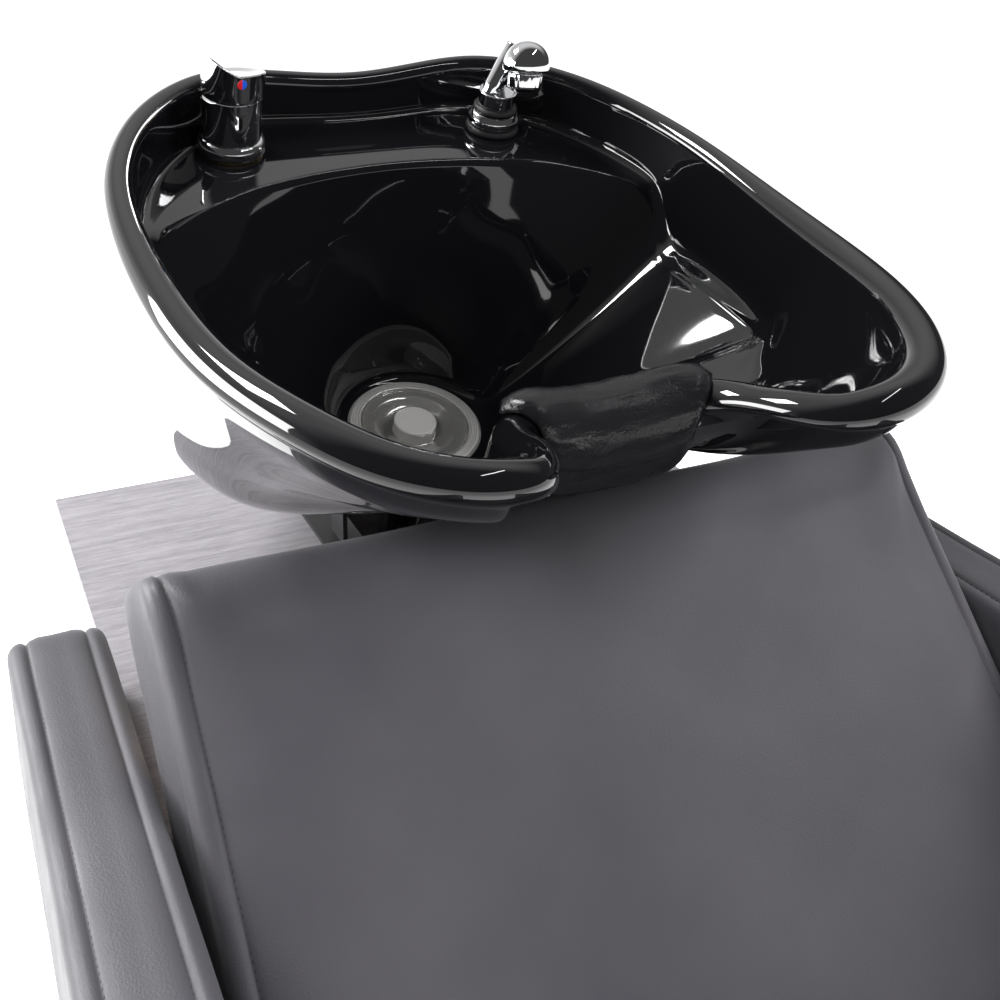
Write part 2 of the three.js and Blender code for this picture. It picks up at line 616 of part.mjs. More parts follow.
// Strainer, stopper, nut and tailpiece on the drain's axis
function drain() {
  const cupRadius = HOLE_RADIUS - 2;
  const flange = [
    [40, -6], [40, 1], [46.6, 1], [46.6, 3.2], [48, 3.6], [56, 2.8], [58.3, GAP], [cupRadius, GAP],
    [cupRadius, -44], [21.5, -50], [21.5, -58], [18, -58], [18, -46], [34, -40], [39, -12], [40, -6],
  ];
  place(tilting, 'drain_strainer', turned(flange, 36), 'brushed_steel');
  const plate = [
    [0, -8], [5, -8], [28, -7], [37, -1], [39.5, 1 + GAP], [46.2, 1 + GAP], [46.2, 2.6], [38, 2.2],
    [29, -4.4], [18.5, -5], [18.5, 6], [17, 8], [0, 8],
  ];
  place(tilting, 'drain_stopper', turned(plate, 36), 'brushed_steel');
  const nutTop = -WALL - 6 - 3 * GAP - PLATE;
  place(tilting, 'drain_locknut', nut(cupRadius + GAP, 56, nutTop - 10, nutTop, 12, 36), 'brushed_steel');
  const tailTop = -58 - GAP;
  const tail = [
    [18, tailTop], [26, tailTop], [26, -70], [19, -74], [19, -125], [16, -125], [16, -72], [18, tailTop],
  ];
  place(tilting, 'drain_tailpiece', turned(tail, 24), 'chrome');
}

// Single-lever mixer: it stands on the deck, and its shank goes through the ceramic to a nut underneath.
const SHANK_RADIUS = 15.5;
const BODY_RADIUS = 24;
const CAP_RADIUS = 25.6;
const CAP_FOOT = 52; // lower edge of the lever's cap, above the deck
const CAP_REAR = 61; // top of the cap at the rear, above the deck
const CAP_FRONT = 77;
const HORN = 15; // how far the thumb edge stands above the cap's top
const HORN_SPAN = [176, 206, 266]; // where it starts, peaks and ends, in degrees round the cap from +X
const NUT_RADIUS = 24;

function locknut() {
  return nut(SHANK_RADIUS + GAP, NUT_RADIUS, -WALL - 12 - GAP, -WALL - GAP * 4, 6, ROUND);
}

function mixer() {
  const group = new THREE.Group();
  group.position.set(-FITTING_X, FITTING_V, DECK_HEIGHT);
  tilting.add(group);
  const bore = SHANK_RADIUS + GAP;
  place(group, 'mixer_base_washer', ring(bore, 26.5, GAP, 3), 'brass');
  const base = [[bore, 3 + GAP], [28, 3 + GAP], [28.6, 6], [28, 11], [25.5, 14], [bore, 14], [bore, 3 + GAP]];
  place(group, 'mixer_base_ring', turned(base), 'chrome');
  const body = [
    [6, -48], [SHANK_RADIUS, -48], [SHANK_RADIUS, 14.3], [BODY_RADIUS, 14.3], [BODY_RADIUS, 41], [22, 45],
    [17, 47.5], [15, 47.5], [15, 20], [6, 16], [6, -48],
  ];
  place(group, 'mixer_body', turned(body), 'chrome');
  const cartridge = [[0, 20.3], [14.6, 20.3], [14.6, 45], [9, 45], [9, 47], [6.3, 47], [6.3, 42], [0, 42]];
  place(group, 'mixer_cartridge', turned(cartridge, 20), 'brass');
  place(group, 'mixer_stem', rod(5.9, 42.3, 56, 12), 'brass');
  place(group, 'mixer_locknut', locknut(), 'brass');
  lever(group);
}

// Height of the lever's top: it slopes down to the rear, and a thumb edge stands up at the front left.
function capTop(x, y) {
  const front = (1 - y / CAP_RADIUS) / 2;
  const turn = (THREE.MathUtils.radToDeg(Math.atan2(y, x)) + 360) % 360;
  const [start, peak, end] = HORN_SPAN;
  const climb = THREE.MathUtils.smoothstep(turn, start, peak);
  const edge = turn < peak ? climb : 1 - THREE.MathUtils.smoothstep(turn, peak, end);
  const outer = THREE.MathUtils.smoothstep(Math.hypot(x, y) / CAP_RADIUS, 0.4, 1);
  return THREE.MathUtils.lerp(CAP_REAR, CAP_FRONT, front) + HORN * edge * outer;
}

// The lever is a cap over the mixer's domed top.
function lever(group) {
  const roof = CAP_FOOT + 3.2;
  const flatTop = CAP_FRONT + 50;
  const cap = [
    [0, roof], [19, roof], [22.6, CAP_FOOT + 1], [22.6, CAP_FOOT], [CAP_RADIUS, CAP_FOOT],
    [CAP_RADIUS, flatTop], [20, flatTop], [13, flatTop], [6, flatTop], [0, flatTop],
  ];
  const geometry = turned(cap, 36);
  const points = geometry.attributes.position;
  for (let i = 0; i < points.count; i += 1) {
    if (points.getZ(i) > flatTop - 1) points.setZ(i, capTop(points.getX(i), points.getY(i)));
  }
  const socket = block([-6.3, -7.8, CAP_FOOT], [6.3, 7.8, 58]); // leaves the stem room while the lever lifts
  const dotHeight = 70;
  const dotRadius = 3.9;
  const onFront = (plug) => plug.rotateX(Math.PI / 2).translate(0, 0, dotHeight);
  const dotSeat = onFront(rod(dotRadius + GAP, CAP_RADIUS - 1.4, CAP_RADIUS + 10, 16));
  place(group, 'mixer_lever', cut(geometry, socket, dotSeat), 'chrome');
  place(group, 'mixer_indicator', onFront(rod(dotRadius, CAP_RADIUS - 1.2, CAP_RADIUS + 0.2, 16)), 'indicator');
}

// Spray: a collar on the deck between two rubber rings, and a handset that stands in it.
const STALK_LEAN = [THREE.MathUtils.degToRad(-9), THREE.MathUtils.degToRad(27)]; // about X, then about Y
const HEAD_APEX = [15, -9, 86]; // top of the handset's domed head, from the middle of the collar's foot
const HEAD_TURN = [THREE.MathUtils.degToRad(-20), THREE.MathUtils.degToRad(4)]; // about X, then about Y
const HEAD_RADIUS = 20.5;
const HEAD_HEIGHT = 25;
const NOZZLE_RADIUS = 15.2;

function spray() {
  const group = new THREE.Group();
  group.position.set(FITTING_X, FITTING_V, DECK_HEIGHT);
  tilting.add(group);
  const bore = 9;
  const shankBore = SHANK_RADIUS + GAP;
  const lowerSeal = [[shankBore, GAP], [23, GAP], [24.5, 3], [23, 6.5], [shankBore, 6.5], [shankBore, GAP]];
  place(group, 'spray_lower_seal', turned(lowerSeal), 'rubber');
  const collar = [
    [bore, -40], [SHANK_RADIUS, -40], [SHANK_RADIUS, 6.8], [21, 6.8], [23.4, 11], [23.4, 14], [20, 19],
    [bore, 19], [bore, -40],
  ];
  place(group, 'spray_collar', turned(collar), 'chrome');
  place(group, 'spray_upper_seal', ring(bore + GAP, 19.5, 19 + GAP, 24), 'rubber');
  place(group, 'spray_locknut', locknut(), 'brass');
  const neck = turned([[0, -24], [7, -24], [7, 24.3], [16, 24.3], [16, 35], [17.2, 36.5], [14, 38], [0, 38]]);
  const stalk = turned([[0, -4], [9, -4], [9.5, 4], [8, 42], [0, 42]], 24)
    .rotateX(STALK_LEAN[0])
    .rotateY(STALK_LEAN[1])
    .translate(-3, 5.5, 34);
  const head = (geometry) => geometry.rotateX(HEAD_TURN[0]).rotateY(HEAD_TURN[1]).translate(...HEAD_APEX);
  const dome = [
    [0, 0], [8, -1.6], [14.5, -5.6], [19, -11.5], [HEAD_RADIUS, -19], [HEAD_RADIUS, -HEAD_HEIGHT + 1],
    [HEAD_RADIUS - 1, -HEAD_HEIGHT], [0, -HEAD_HEIGHT],
  ];
  place(group, 'spray_handset', join(neck, stalk, head(turned(dome))), 'chrome');
  const top = -HEAD_HEIGHT - GAP;
  const nozzle = [
    [0, top], [NOZZLE_RADIUS - 1.2, top], [NOZZLE_RADIUS, top - 3], [NOZZLE_RADIUS, top - 14], [10, top - 14],
    [9, top - 6], [0, top - 6],
  ];
  place(group, 'spray_nozzle', head(turned(nozzle)), 'chrome');
}

cabinet();
armrests();
seat();
backrest();
tiltBase();
cradle();
bowl();
neckRest();
drain();
mixer();
spray();

export default unit;
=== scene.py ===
"""Looks, lights and camera of the shampoo backwash unit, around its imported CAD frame.

Metres, +Z up, +Y from the seat towards the bowl, +X to the right. Pieces of the bowl are drawn in millimetres
in the bowl's own frame (origin at the drain, Y to the rear, Z along the drain's axis) and scaled when they
are placed.
"""

import json
import math

import bmesh
import bpy
import numpy as np
from mathutils import Matrix, Vector, kdtree, noise


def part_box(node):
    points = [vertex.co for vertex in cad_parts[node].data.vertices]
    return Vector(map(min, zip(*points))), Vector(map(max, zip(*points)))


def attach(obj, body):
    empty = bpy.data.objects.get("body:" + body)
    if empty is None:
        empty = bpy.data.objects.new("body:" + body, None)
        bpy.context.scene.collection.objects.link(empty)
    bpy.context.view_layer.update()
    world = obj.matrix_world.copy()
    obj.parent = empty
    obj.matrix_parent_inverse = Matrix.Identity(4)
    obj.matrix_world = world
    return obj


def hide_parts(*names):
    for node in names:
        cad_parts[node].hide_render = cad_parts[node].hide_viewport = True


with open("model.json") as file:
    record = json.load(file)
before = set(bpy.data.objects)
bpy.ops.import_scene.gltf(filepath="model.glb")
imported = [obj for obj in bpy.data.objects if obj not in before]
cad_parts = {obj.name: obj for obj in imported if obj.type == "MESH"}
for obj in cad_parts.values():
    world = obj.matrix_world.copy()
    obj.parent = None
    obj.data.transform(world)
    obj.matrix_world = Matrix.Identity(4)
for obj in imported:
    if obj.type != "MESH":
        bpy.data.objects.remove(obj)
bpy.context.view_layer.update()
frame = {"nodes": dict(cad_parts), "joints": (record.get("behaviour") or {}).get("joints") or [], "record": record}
nodes = frame["nodes"]
joints = {joint["name"]: joint for joint in frame["joints"]}
MM = 0.001

# Driving dimensions in millimetres, as in the CAD
WALL = 11
RIM_RADIUS = 14
REAR_RIM_RADIUS = 10
HOLE_RADIUS = 46
FLOOR_RADIUS = 66
DECK_HEIGHT = 184
FITTING_X = 120
FITTING_V = 170
TUBE_TOP = 51.4
TUBE_CUT = 5.3
FLOOR_REACH = 40
LEVER_AXIS_HEIGHT = 51
BACK_ANGLE = math.radians(44.6)
BACK_LENGTH = 437
BACK_HALF_WIDTH = 286
BACK_FOAM = 66
BACK_TOP = Vector((0, 192, 757))

# The bowl's frame comes from two joints: the stopper lifts along its Z, and the mixer turns about a known
# point of it
up = Vector(joints["stopper_lift"]["axis"])
tilt = Matrix.Rotation(math.atan2(-up.y, up.z), 4, "X")
mixer_point = Vector((-FITTING_X, FITTING_V, DECK_HEIGHT + LEVER_AXIS_HEIGHT)) * MM
drain = Vector(joints["mixer_turn"]["pos_m"]) - tilt @ mixer_point
BOWL_FRAME = Matrix.Translation(drain) @ tilt


# Camera


def camera():
    data = bpy.data.cameras.new("camera")
    data.sensor_width = 36
    data.lens = 42.37
    data.shift_x = 0.1
    data.shift_y = -0.1
    data.clip_end = 200
    made = bpy.data.objects.new("camera", data)
    made.location = (-0.368, -0.407, 1.117)
    made.rotation_euler = (math.radians(66.2), 0, math.radians(-22.8))
    bpy.context.scene.collection.objects.link(made)
    bpy.context.scene.camera = made


# Node helpers


def node(tree, kind, settings=None, **inputs):
    made = tree.nodes.new("ShaderNode" + kind)
    for key, value in (settings or {}).items():
        setattr(made, key, value)
    for key, value in inputs.items():
        feed(tree, made, key.replace("_", " "), value)
    return made


def feed(tree, target, name, value):
    socket = target.inputs[int(name) if name.isdigit() else name]
    if isinstance(value, bpy.types.NodeSocket):
        tree.links.new(value, socket)
    else:
        socket.default_value = value


def material(name, **inputs):
    made = bpy.data.materials.new(name)
    made.use_nodes = True
    surface = made.node_tree.nodes["Principled BSDF"]
    for key, value in inputs.items():
        surface.inputs[key.replace("_", " ")].default_value = value
    return made, made.node_tree, surface


def stretched(tree, scale):
    """Object coordinates scaled along X, Y and Z, so that a texture's features are long where the scale is
    small."""
    place = node(tree, "TexCoord")
    return node(tree, "Mapping", Vector=place.outputs["Object"], Scale=scale).outputs[0]


def grain(tree, scale, detail=3.0, roughness=0.5, stretch=(1, 1, 1)):
    return node(
        tree, "TexNoise", Vector=stretched(tree, stretch), Scale=scale, Detail=detail, Roughness=roughness
    ).outputs[0]


def ramp(tree, value, low, high, low_at=0.0, high_at=1.0):
    """A value between low_at and high_at becomes a number or colour between low and high."""
    if isinstance(low, (int, float)):
        return node(
            tree,
            "MapRange",
            Value=value,
            From_Min=low_at,
            From_Max=high_at,
            To_Min=low,
            To_Max=high,
        ).outputs[0]
    share = ramp(tree, value, 0.0, 1.0, low_at, high_at)
    mix = node(tree, "Mix", {"data_type": "RGBA"})
    tree.links.new(share, mix.inputs[0])
    mix.inputs[6].default_value = (*low, 1)
    mix.inputs[7].default_value = (*high, 1)
    return mix.outputs[2]


def bump(tree, surface, height, strength, distance, below=None):
    made = node(tree, "Bump", Height=height, Strength=strength, Distance=distance)
    if below:
        tree.links.new(below, made.inputs["Normal"])
    tree.links.new(made.outputs[0], surface.inputs["Normal"])
    return made.outputs[0]


# Materials


def glaze():
    made, tree, surface = material(
        "black_glaze", Base_Color=(0.004, 0.004, 0.005, 1), Roughness=0.035, IOR=1.52, Coat_Weight=0.5,
        Coat_Roughness=0.02
    )
    bump(tree, surface, grain(tree, 14, 1.0), 0.05, 0.002)
    return made


def chrome():
    made, tree, surface = material(
        "polished_chrome", Base_Color=(0.88, 0.885, 0.9, 1), Metallic=1, Roughness=0.035
    )
    tree.links.new(ramp(tree, grain(tree, 90), 0.02, 0.06), surface.inputs["Roughness"])
    bump(tree, surface, grain(tree, 35, 1.0), 0.04, 0.001)
    return made


def turned_steel(name, rough, anisotropy, lines, depth, satin):
    """Stainless steel with turning lines round the object's own Z axis. Fine turning scatters some of the
    light."""
    made, tree, surface = material(name, Metallic=1 - satin, Anisotropic=anisotropy)
    place = node(tree, "TexCoord").outputs["Object"]
    flat = node(tree, "VectorMath", {"operation": "MULTIPLY"})
    tree.links.new(place, flat.inputs[0])
    flat.inputs[1].default_value = (1, 1, 0)
    radius = node(tree, "VectorMath", {"operation": "LENGTH"})
    tree.links.new(flat.outputs[0], radius.inputs[0])
    rings = node(
        tree, "TexNoise", {"noise_dimensions": "1D"}, W=radius.outputs["Value"], Scale=lines, Detail=4.0
    )
    tree.links.new(
        ramp(tree, rings.outputs[0], rough * 0.7, rough * 1.4, 0.3, 0.7), surface.inputs["Roughness"]
    )
    tint = ramp(tree, rings.outputs[0], (0.62, 0.61, 0.59), (0.8, 0.79, 0.77), 0.3, 0.7)
    tree.links.new(tint, surface.inputs["Base Color"])
    tangent = node(tree, "Tangent", {"direction_type": "RADIAL", "axis": "Z"})
    tree.links.new(tangent.outputs[0], surface.inputs["Tangent"])
    bump(tree, surface, rings.outputs[0], 0.3, depth)
    return made


def brass():
    made, tree, surface = material(
        "machined_brass", Base_Color=(0.74, 0.56, 0.28, 1), Metallic=1, Roughness=0.25
    )
    tree.links.new(ramp(tree, grain(tree, 300, stretch=(1, 1, 8)), 0.18, 0.36), surface.inputs["Roughness"])
    tree.links.new(
        ramp(tree, grain(tree, 40), (0.66, 0.49, 0.24), (0.8, 0.62, 0.34)), surface.inputs["Base Color"]
    )
    return made


def steel():
    made, tree, surface = material("brushed_steel", Metallic=1, Roughness=0.3)
    lines = grain(tree, 400, stretch=(1, 1, 0.05))
    tree.links.new(ramp(tree, lines, (0.55, 0.55, 0.54), (0.74, 0.74, 0.72)), surface.inputs["Base Color"])
    tree.links.new(ramp(tree, lines, 0.22, 0.42), surface.inputs["Roughness"])
    bump(tree, surface, lines, 0.15, 0.0004)
    return made


def rubber():
    made, tree, surface = material("black_rubber", Base_Color=(0.012, 0.012, 0.013, 1), Roughness=0.5)
    tree.links.new(ramp(tree, grain(tree, 500), 0.4, 0.62), surface.inputs["Roughness"])
    bump(tree, surface, grain(tree, 1500, 2.0), 0.2, 0.0004)
    return made


def leather(name, dark, light, grain_size, grain_depth, rough, sheen=0.08):
    """Faux leather: embossed pebble grain, fine pores, slow shade changes, and a little sheen on its raised
    parts."""
    made, tree, surface = material(name, Sheen_Weight=sheen, Sheen_Roughness=0.5, Specular_IOR_Level=0.42)
    shade = grain(tree, 3.5, 4.0, 0.6)
    tree.links.new(ramp(tree, shade, dark, light, 0.35, 0.65), surface.inputs["Base Color"])
    cells = node(
        tree, "TexVoronoi", {"feature": "SMOOTH_F1"}, Vector=stretched(tree, (1, 1, 1)), Scale=1 / grain_size,
        Smoothness=0.4
    ).outputs["Distance"]
    worn = ramp(tree, grain(tree, 18, 3.0), rough - 0.06, rough + 0.07, 0.35, 0.65)
    tree.links.new(worn, surface.inputs["Roughness"])
    soft = bump(tree, surface, grain(tree, 22, 2.0), 0.1, 0.004)
    fine = bump(tree, surface, grain(tree, 900, 3.0), 0.12, grain_depth, soft)
    bump(tree, surface, cells, 0.3, grain_depth, fine)
    return made


def thread():
    made, tree, surface = material(
        "black_thread", Base_Color=(0.012, 0.012, 0.014, 1), Roughness=0.7, Sheen_Weight=0.2
    )
    bump(tree, surface, grain(tree, 2500, 2.0), 0.5, 0.0003)
    return made


def laminate(name, along, dark, light):
    """Wood-grain laminate: long soft streaks with short embossed pores along one axis."""
    made, tree, surface = material(name, Specular_IOR_Level=0.4)
    across = [1.0, 1.0, 1.0]
    across[along] = 0.06
    fibres = [1.0, 1.0, 1.0]
    fibres[along] = 0.1
    streaks = grain(tree, 130, 5.0, 0.65, across)
    pores = grain(tree, 650, 4.0, 0.7, fibres)
    both = node(tree, "Mix", {"data_type": "FLOAT"}, Factor=0.45, A=streaks, B=pores)
    tree.links.new(ramp(tree, both.outputs[0], dark, light, 0.36, 0.64), surface.inputs["Base Color"])
    tree.links.new(ramp(tree, pores, 0.42, 0.62, 0.3, 0.7), surface.inputs["Roughness"])
    bump(tree, surface, ramp(tree, pores, 0.0, 1.0, 0.36, 0.6), 0.6, 0.0009)
    return made


def plywood():
    made, tree, surface = material("plywood", Roughness=0.7)
    layers = node(
        tree, "TexWave", {"bands_direction": "Z"}, Vector=stretched(tree, (1, 1, 1)), Scale=120,
        Distortion=0.4
    )
    figure = grain(tree, 50, 4.0, stretch=(0.08, 1, 1))
    tone = node(tree, "Mix", {"data_type": "FLOAT"}, Factor=0.3, A=figure, B=layers.outputs["Fac"])
    tree.links.new(
        ramp(tree, tone.outputs[0], (0.42, 0.27, 0.14), (0.68, 0.5, 0.31), 0.3, 0.7),
        surface.inputs["Base Color"]
    )
    bump(tree, surface, figure, 0.3, 0.0006)
    return made


def painted_steel():
    made, tree, surface = material("black_powder_coat", Base_Color=(0.02, 0.02, 0.022, 1), Roughness=0.45)
    peel = grain(tree, 700, 2.0)
    tree.links.new(ramp(tree, grain(tree, 30), 0.38, 0.55), surface.inputs["Roughness"])
    bump(tree, surface, peel, 0.35, 0.0006)
    return made


def plastic():
    made, tree, surface = material("black_plastic", Base_Color=(0.015, 0.015, 0.016, 1), Roughness=0.45)
    tree.links.new(ramp(tree, grain(tree, 60), 0.38, 0.52), surface.inputs["Roughness"])
    bump(tree, surface, grain(tree, 1200, 2.0), 0.25, 0.0004)
    return made


def indicator():
    """A dot that is red on its left half and blue on its right half, in the mixer's own frame."""
    made, tree, surface = material("hot_cold_dot", Roughness=0.2, Coat_Weight=0.5)
    place = node(tree, "TexCoord").outputs["Object"]
    x = node(tree, "SeparateXYZ", Vector=place).outputs[0]
    tint = ramp(tree, x, (0.62, 0.02, 0.03), (0.02, 0.1, 0.62), -0.0001, 0.0001)
    tree.links.new(tint, surface.inputs["Base Color"])
    return made


CHARCOAL = ((0.056, 0.054, 0.063), (0.076, 0.073, 0.082))
LOOKS = {
    "glaze": glaze(),
    "chrome": chrome(),
    "turned": turned_steel("turned_steel", 0.24, 0.85, 1800, 0.0002, 0.4),
    "dish": turned_steel("polished_dish", 0.12, 0.5, 1200, 0.0001, 0.2),
    "knob": turned_steel("turned_knob", 0.18, 0.9, 2200, 0.0002, 0.75),
    "brass": brass(),
    "steel": steel(),
    "rubber": rubber(),
    "upholstery": leather("charcoal_faux_leather", *CHARCOAL, 0.0014, 0.0004, 0.5),
    "neck": leather(
        "black_neck_vinyl", (0.005, 0.005, 0.006), (0.01, 0.01, 0.011), 0.0016, 0.0007, 0.26, 0.0
    ),
    "thread": thread(),
    "laminate_x": laminate("laminate_grain_x", 0, (0.23, 0.22, 0.24), (0.42, 0.4, 0.43)),
    "laminate_z": laminate("laminate_grain_z", 2, (0.23, 0.22, 0.24), (0.42, 0.4, 0.43)),
    "plywood": plywood(),
    "black_steel": painted_steel(),
    "plastic": plastic(),
    "indicator": indicator(),
}
SLOT_LOOK = {
    "bowl_glaze": "glaze",
    "polished_chrome": "chrome",
    "brushed_steel": "steel",
    "brass": "brass",
    "black_rubber": "rubber",
    "neck_vinyl": "neck",
    "upholstery": "upholstery",
    "seat_fascia": "upholstery",
    "laminate": "laminate_x",
    "plywood": "plywood",
    "black_steel": "black_steel",
    "black_plastic": "plastic",
    "indicator": "indicator",
}


# Mesh helpers


def add_piece(name, mesh, body, look, slot, replaces=(), at=None):
    """A smooth piece that rides on a body. Its mesh is in metres, in the frame given by at."""
    for polygon in mesh.polygons:
        polygon.use_smooth = True
    mesh.materials.append(LOOKS[look])
    made = bpy.data.objects.new(name, mesh)
    bpy.context.scene.collection.objects.link(made)
    made.matrix_world = at or Matrix.Identity(4)
    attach(made, body)
    if replaces:
        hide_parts(*replaces)
    return made


def grid_faces(rows, columns, rows_close=True, columns_close=False):
    """Quads of a grid whose points are numbered row by row."""
    i = np.arange(rows if rows_close else rows - 1)
    j = np.arange(columns if columns_close else columns - 1)
    i, j = [a.ravel() for a in np.meshgrid(i, j, indexing="ij")]
    up, right = (i + 1) % rows, (j + 1) % columns
    return np.stack([i * columns + j, up * columns + j, up * columns + right, i * columns + right], 1)


def solid(name, points, faces, merge=1e-6):
    """A closed mesh from millimetre points: doubled points merged and faces pointing out."""
    made = bmesh.new()
    corners = [made.verts.new(p) for p in np.asarray(points, float).reshape(-1, 3) * MM]
    for face in faces:
        made.faces.new([corners[k] for k in face])
    bmesh.ops.remove_doubles(made, verts=made.verts, dist=merge)
    bmesh.ops.dissolve_degenerate(made, edges=made.edges, dist=merge * 0.1)
    bmesh.ops.recalc_face_normals(made, faces=made.faces)
    mesh = bpy.data.meshes.new(name)
    made.to_mesh(mesh)
    made.free()
    return mesh


def softened(profile, radius, steps=5, closed=False):
    """A line of points with its corners rounded. A corner may give its own radius as a third value."""
    points = [np.array(p[:2], float) for p in profile]
    radii = [p[2] if len(p) > 2 else radius for p in profile]
    count = len(points)
    out = []
    for k in range(count):
        if not closed and k in (0, count - 1):
            out.append(points[k])
            continue
        before, after = points[k - 1] - points[k], points[(k + 1) % count] - points[k]
        reach = min(radii[k], 0.45 * np.linalg.norm(before), 0.45 * np.linalg.norm(after))
        start = points[k] + before / np.linalg.norm(before) * reach
        end = points[k] + after / np.linalg.norm(after) * reach
        for t in np.linspace(0, 1, steps):
            out.append((1 - t) ** 2 * start + 2 * t * (1 - t) * points[k] + t**2 * end)
    return np.array(out)


def lathe(name, profile, radius=0.8, sides=96, closed=False):
    line = softened(profile, radius, closed=closed)
    turn = np.linspace(0, 2 * math.pi, sides, endpoint=False)[:, None]
    points = np.stack([line[:, 0] * np.cos(turn), line[:, 0] * np.sin(turn), line[:, 1] + 0 * turn], -1)
    return solid(name, points, grid_faces(sides, len(line), True, closed))


def crisp(piece):
    """Normals weighted by face area, so that flats stay flat beside small rounds."""
    weighted = piece.modifiers.new("weighted_normals", "WEIGHTED_NORMAL")
    weighted.keep_sharp = True
    return piece


def fitting(x):
    return BOWL_FRAME @ Matrix.Translation(Vector((x, FITTING_V, DECK_HEIGHT)) * MM)


# Bowl. The tables are the CAD's, and their values are joined by smooth curves here.

RIM = [
    (0, 226, 223), (62, 231, 226), (118, 230, 230), (166, 201, 234), (207, 154, 235), (236, 91, 235),
    (249, 19, 238), (251, -81, 246), (240, -185, 261), (213, -262, 275), (177, -312, 280), (128, -335, 279),
    (90, -325, 271), (69, -286, 254), (57, -256, 233), (30, -251, 222), (0, -251, 220),
]
BOWL_STATIONS = 420
LIP_RADIUS = 410
LIP_FRONT = 104
FACET_X = 209
SLOPE_TOP = [
    (0, 0, 199), (56, 0, 199), (71, 0, 193), (79, 0, 181), (84, 211, 136), (124, 252, 161),
    (127, 218, 148), (132, 202, 146), (138, 190, 140), (145, 180, 132), (157, 172, 124), (180, 166, 118),
]
SKIRT = [
    (0, 203, 110, 156), (45, 236, 110, 184), (71, 240, 105, 206), (84, 236, 100, 208), (90, 233, 95, 208),
    (124, 250, 112, 214), (140, 245, 135, 190), (150, 233, 136, 179), (160, 222, 147, 168),
    (170, 217, 152, 166), (180, 212, 152, 165),
]
DECK_END = 79
FACET_START = 84
FACET_END = 124


def periodic_spline(points, count):
    """A smooth closed curve through the points, spaced by chord length, with its direction at each sample."""
    closed = np.vstack([points, points[:1]])
    chord = np.sqrt(np.linalg.norm(np.diff(closed, axis=0), axis=1))
    knots = np.concatenate([[0], np.cumsum(chord)])
    n = len(points)
    matrix, right = np.zeros((n, n)), np.zeros((n, 3))
    for k in range(n):
        before, after = chord[k - 1], chord[k]
        matrix[k, k - 1] += before
        matrix[k, k] += 2 * (before + after)
        matrix[k, (k + 1) % n] += after
        rise = (closed[k + 1] - closed[k]) / after
        right[k] = 6 * (rise - (closed[k] - closed[k - 1 if k else n - 1]) / before)
    curve = np.linalg.solve(matrix, right)
    curve = np.vstack([curve, curve[:1]])
    at = np.linspace(0, knots[-1], count, endpoint=False)
    k = np.minimum(np.searchsorted(knots, at, side="right") - 1, n - 1)
    h, a, b = chord[k][:, None], (knots[k + 1] - at)[:, None], (at - knots[k])[:, None]
    return (
        (curve[k] * a**3 + curve[k + 1] * b**3) / (6 * h)
        + (closed[k] / h - curve[k] * h / 6) * a
        + (closed[k + 1] / h - curve[k + 1] * h / 6) * b
    )


def round_smooth(values, width):
    """Gaussian smoothing round a closed ring of samples."""
    reach = int(3 * width) + 1
    weights = np.exp(-0.5 * (np.arange(-reach, reach + 1) / width) ** 2)
    weights /= weights.sum()
    return sum(w * np.roll(values, k, axis=0) for w, k in zip(weights, range(-reach, reach + 1)))


def rim_line():
    right = RIM[1:-1]
    left = [(-x, y, z) for x, y, z in reversed(right)]
    loop = np.array([RIM[0], *right, RIM[-1], *left], float)
    dense = periodic_spline(loop, 4 * BOWL_STATIONS)
    dense = np.vstack([dense, dense[:1]])
    along = np.concatenate([[0], np.cumsum(np.linalg.norm(np.diff(dense, axis=0), axis=1))])
    even = np.linspace(0, along[-1], BOWL_STATIONS, endpoint=False)
    line = np.stack([np.interp(even, along, dense[:, axis]) for axis in range(3)], 1)
    return round_smooth(line, 1.5)


def table(rows, angle, column):
    rows = np.array(rows, float)
    return np.interp(angle, rows[:, 0], rows[:, column])


def lip_radius(angle):
    back = LIP_FRONT - LIP_RADIUS
    turn = np.radians(angle)
    return back * np.cos(turn) + np.sqrt(LIP_RADIUS**2 - (back * np.sin(turn)) ** 2)


def slope_top(angle):
    height = table(SLOPE_TOP, angle, 2)
    facet = FACET_X / np.sin(np.radians(np.clip(angle, FACET_START, FACET_END)))
    tip = lip_radius(np.array(float(DECK_END)))
    corner = np.interp(angle, [DECK_END, FACET_START], [tip, FACET_X / math.sin(math.radians(FACET_START))])
    rest = table(SLOPE_TOP, angle, 1)
    radius = np.select(
        [angle <= DECK_END, angle <= FACET_START, angle <= FACET_END], [lip_radius(angle), corner, facet],
        rest
    )
    return radius, height


def lerp(a, b, share):
    return a + (b - a) * share


def smooth(share):
    share = np.clip(share, 0, 1)
    return share * share * (3 - 2 * share)


def rim_radius(edge):
    """The rolled rim is slimmer behind the basin than at the front."""
    angle = np.degrees(np.arctan2(np.abs(edge[:, 0]), edge[:, 1]))
    return lerp(REAR_RIM_RADIUS, RIM_RADIUS, smooth((angle - 75) / 50))


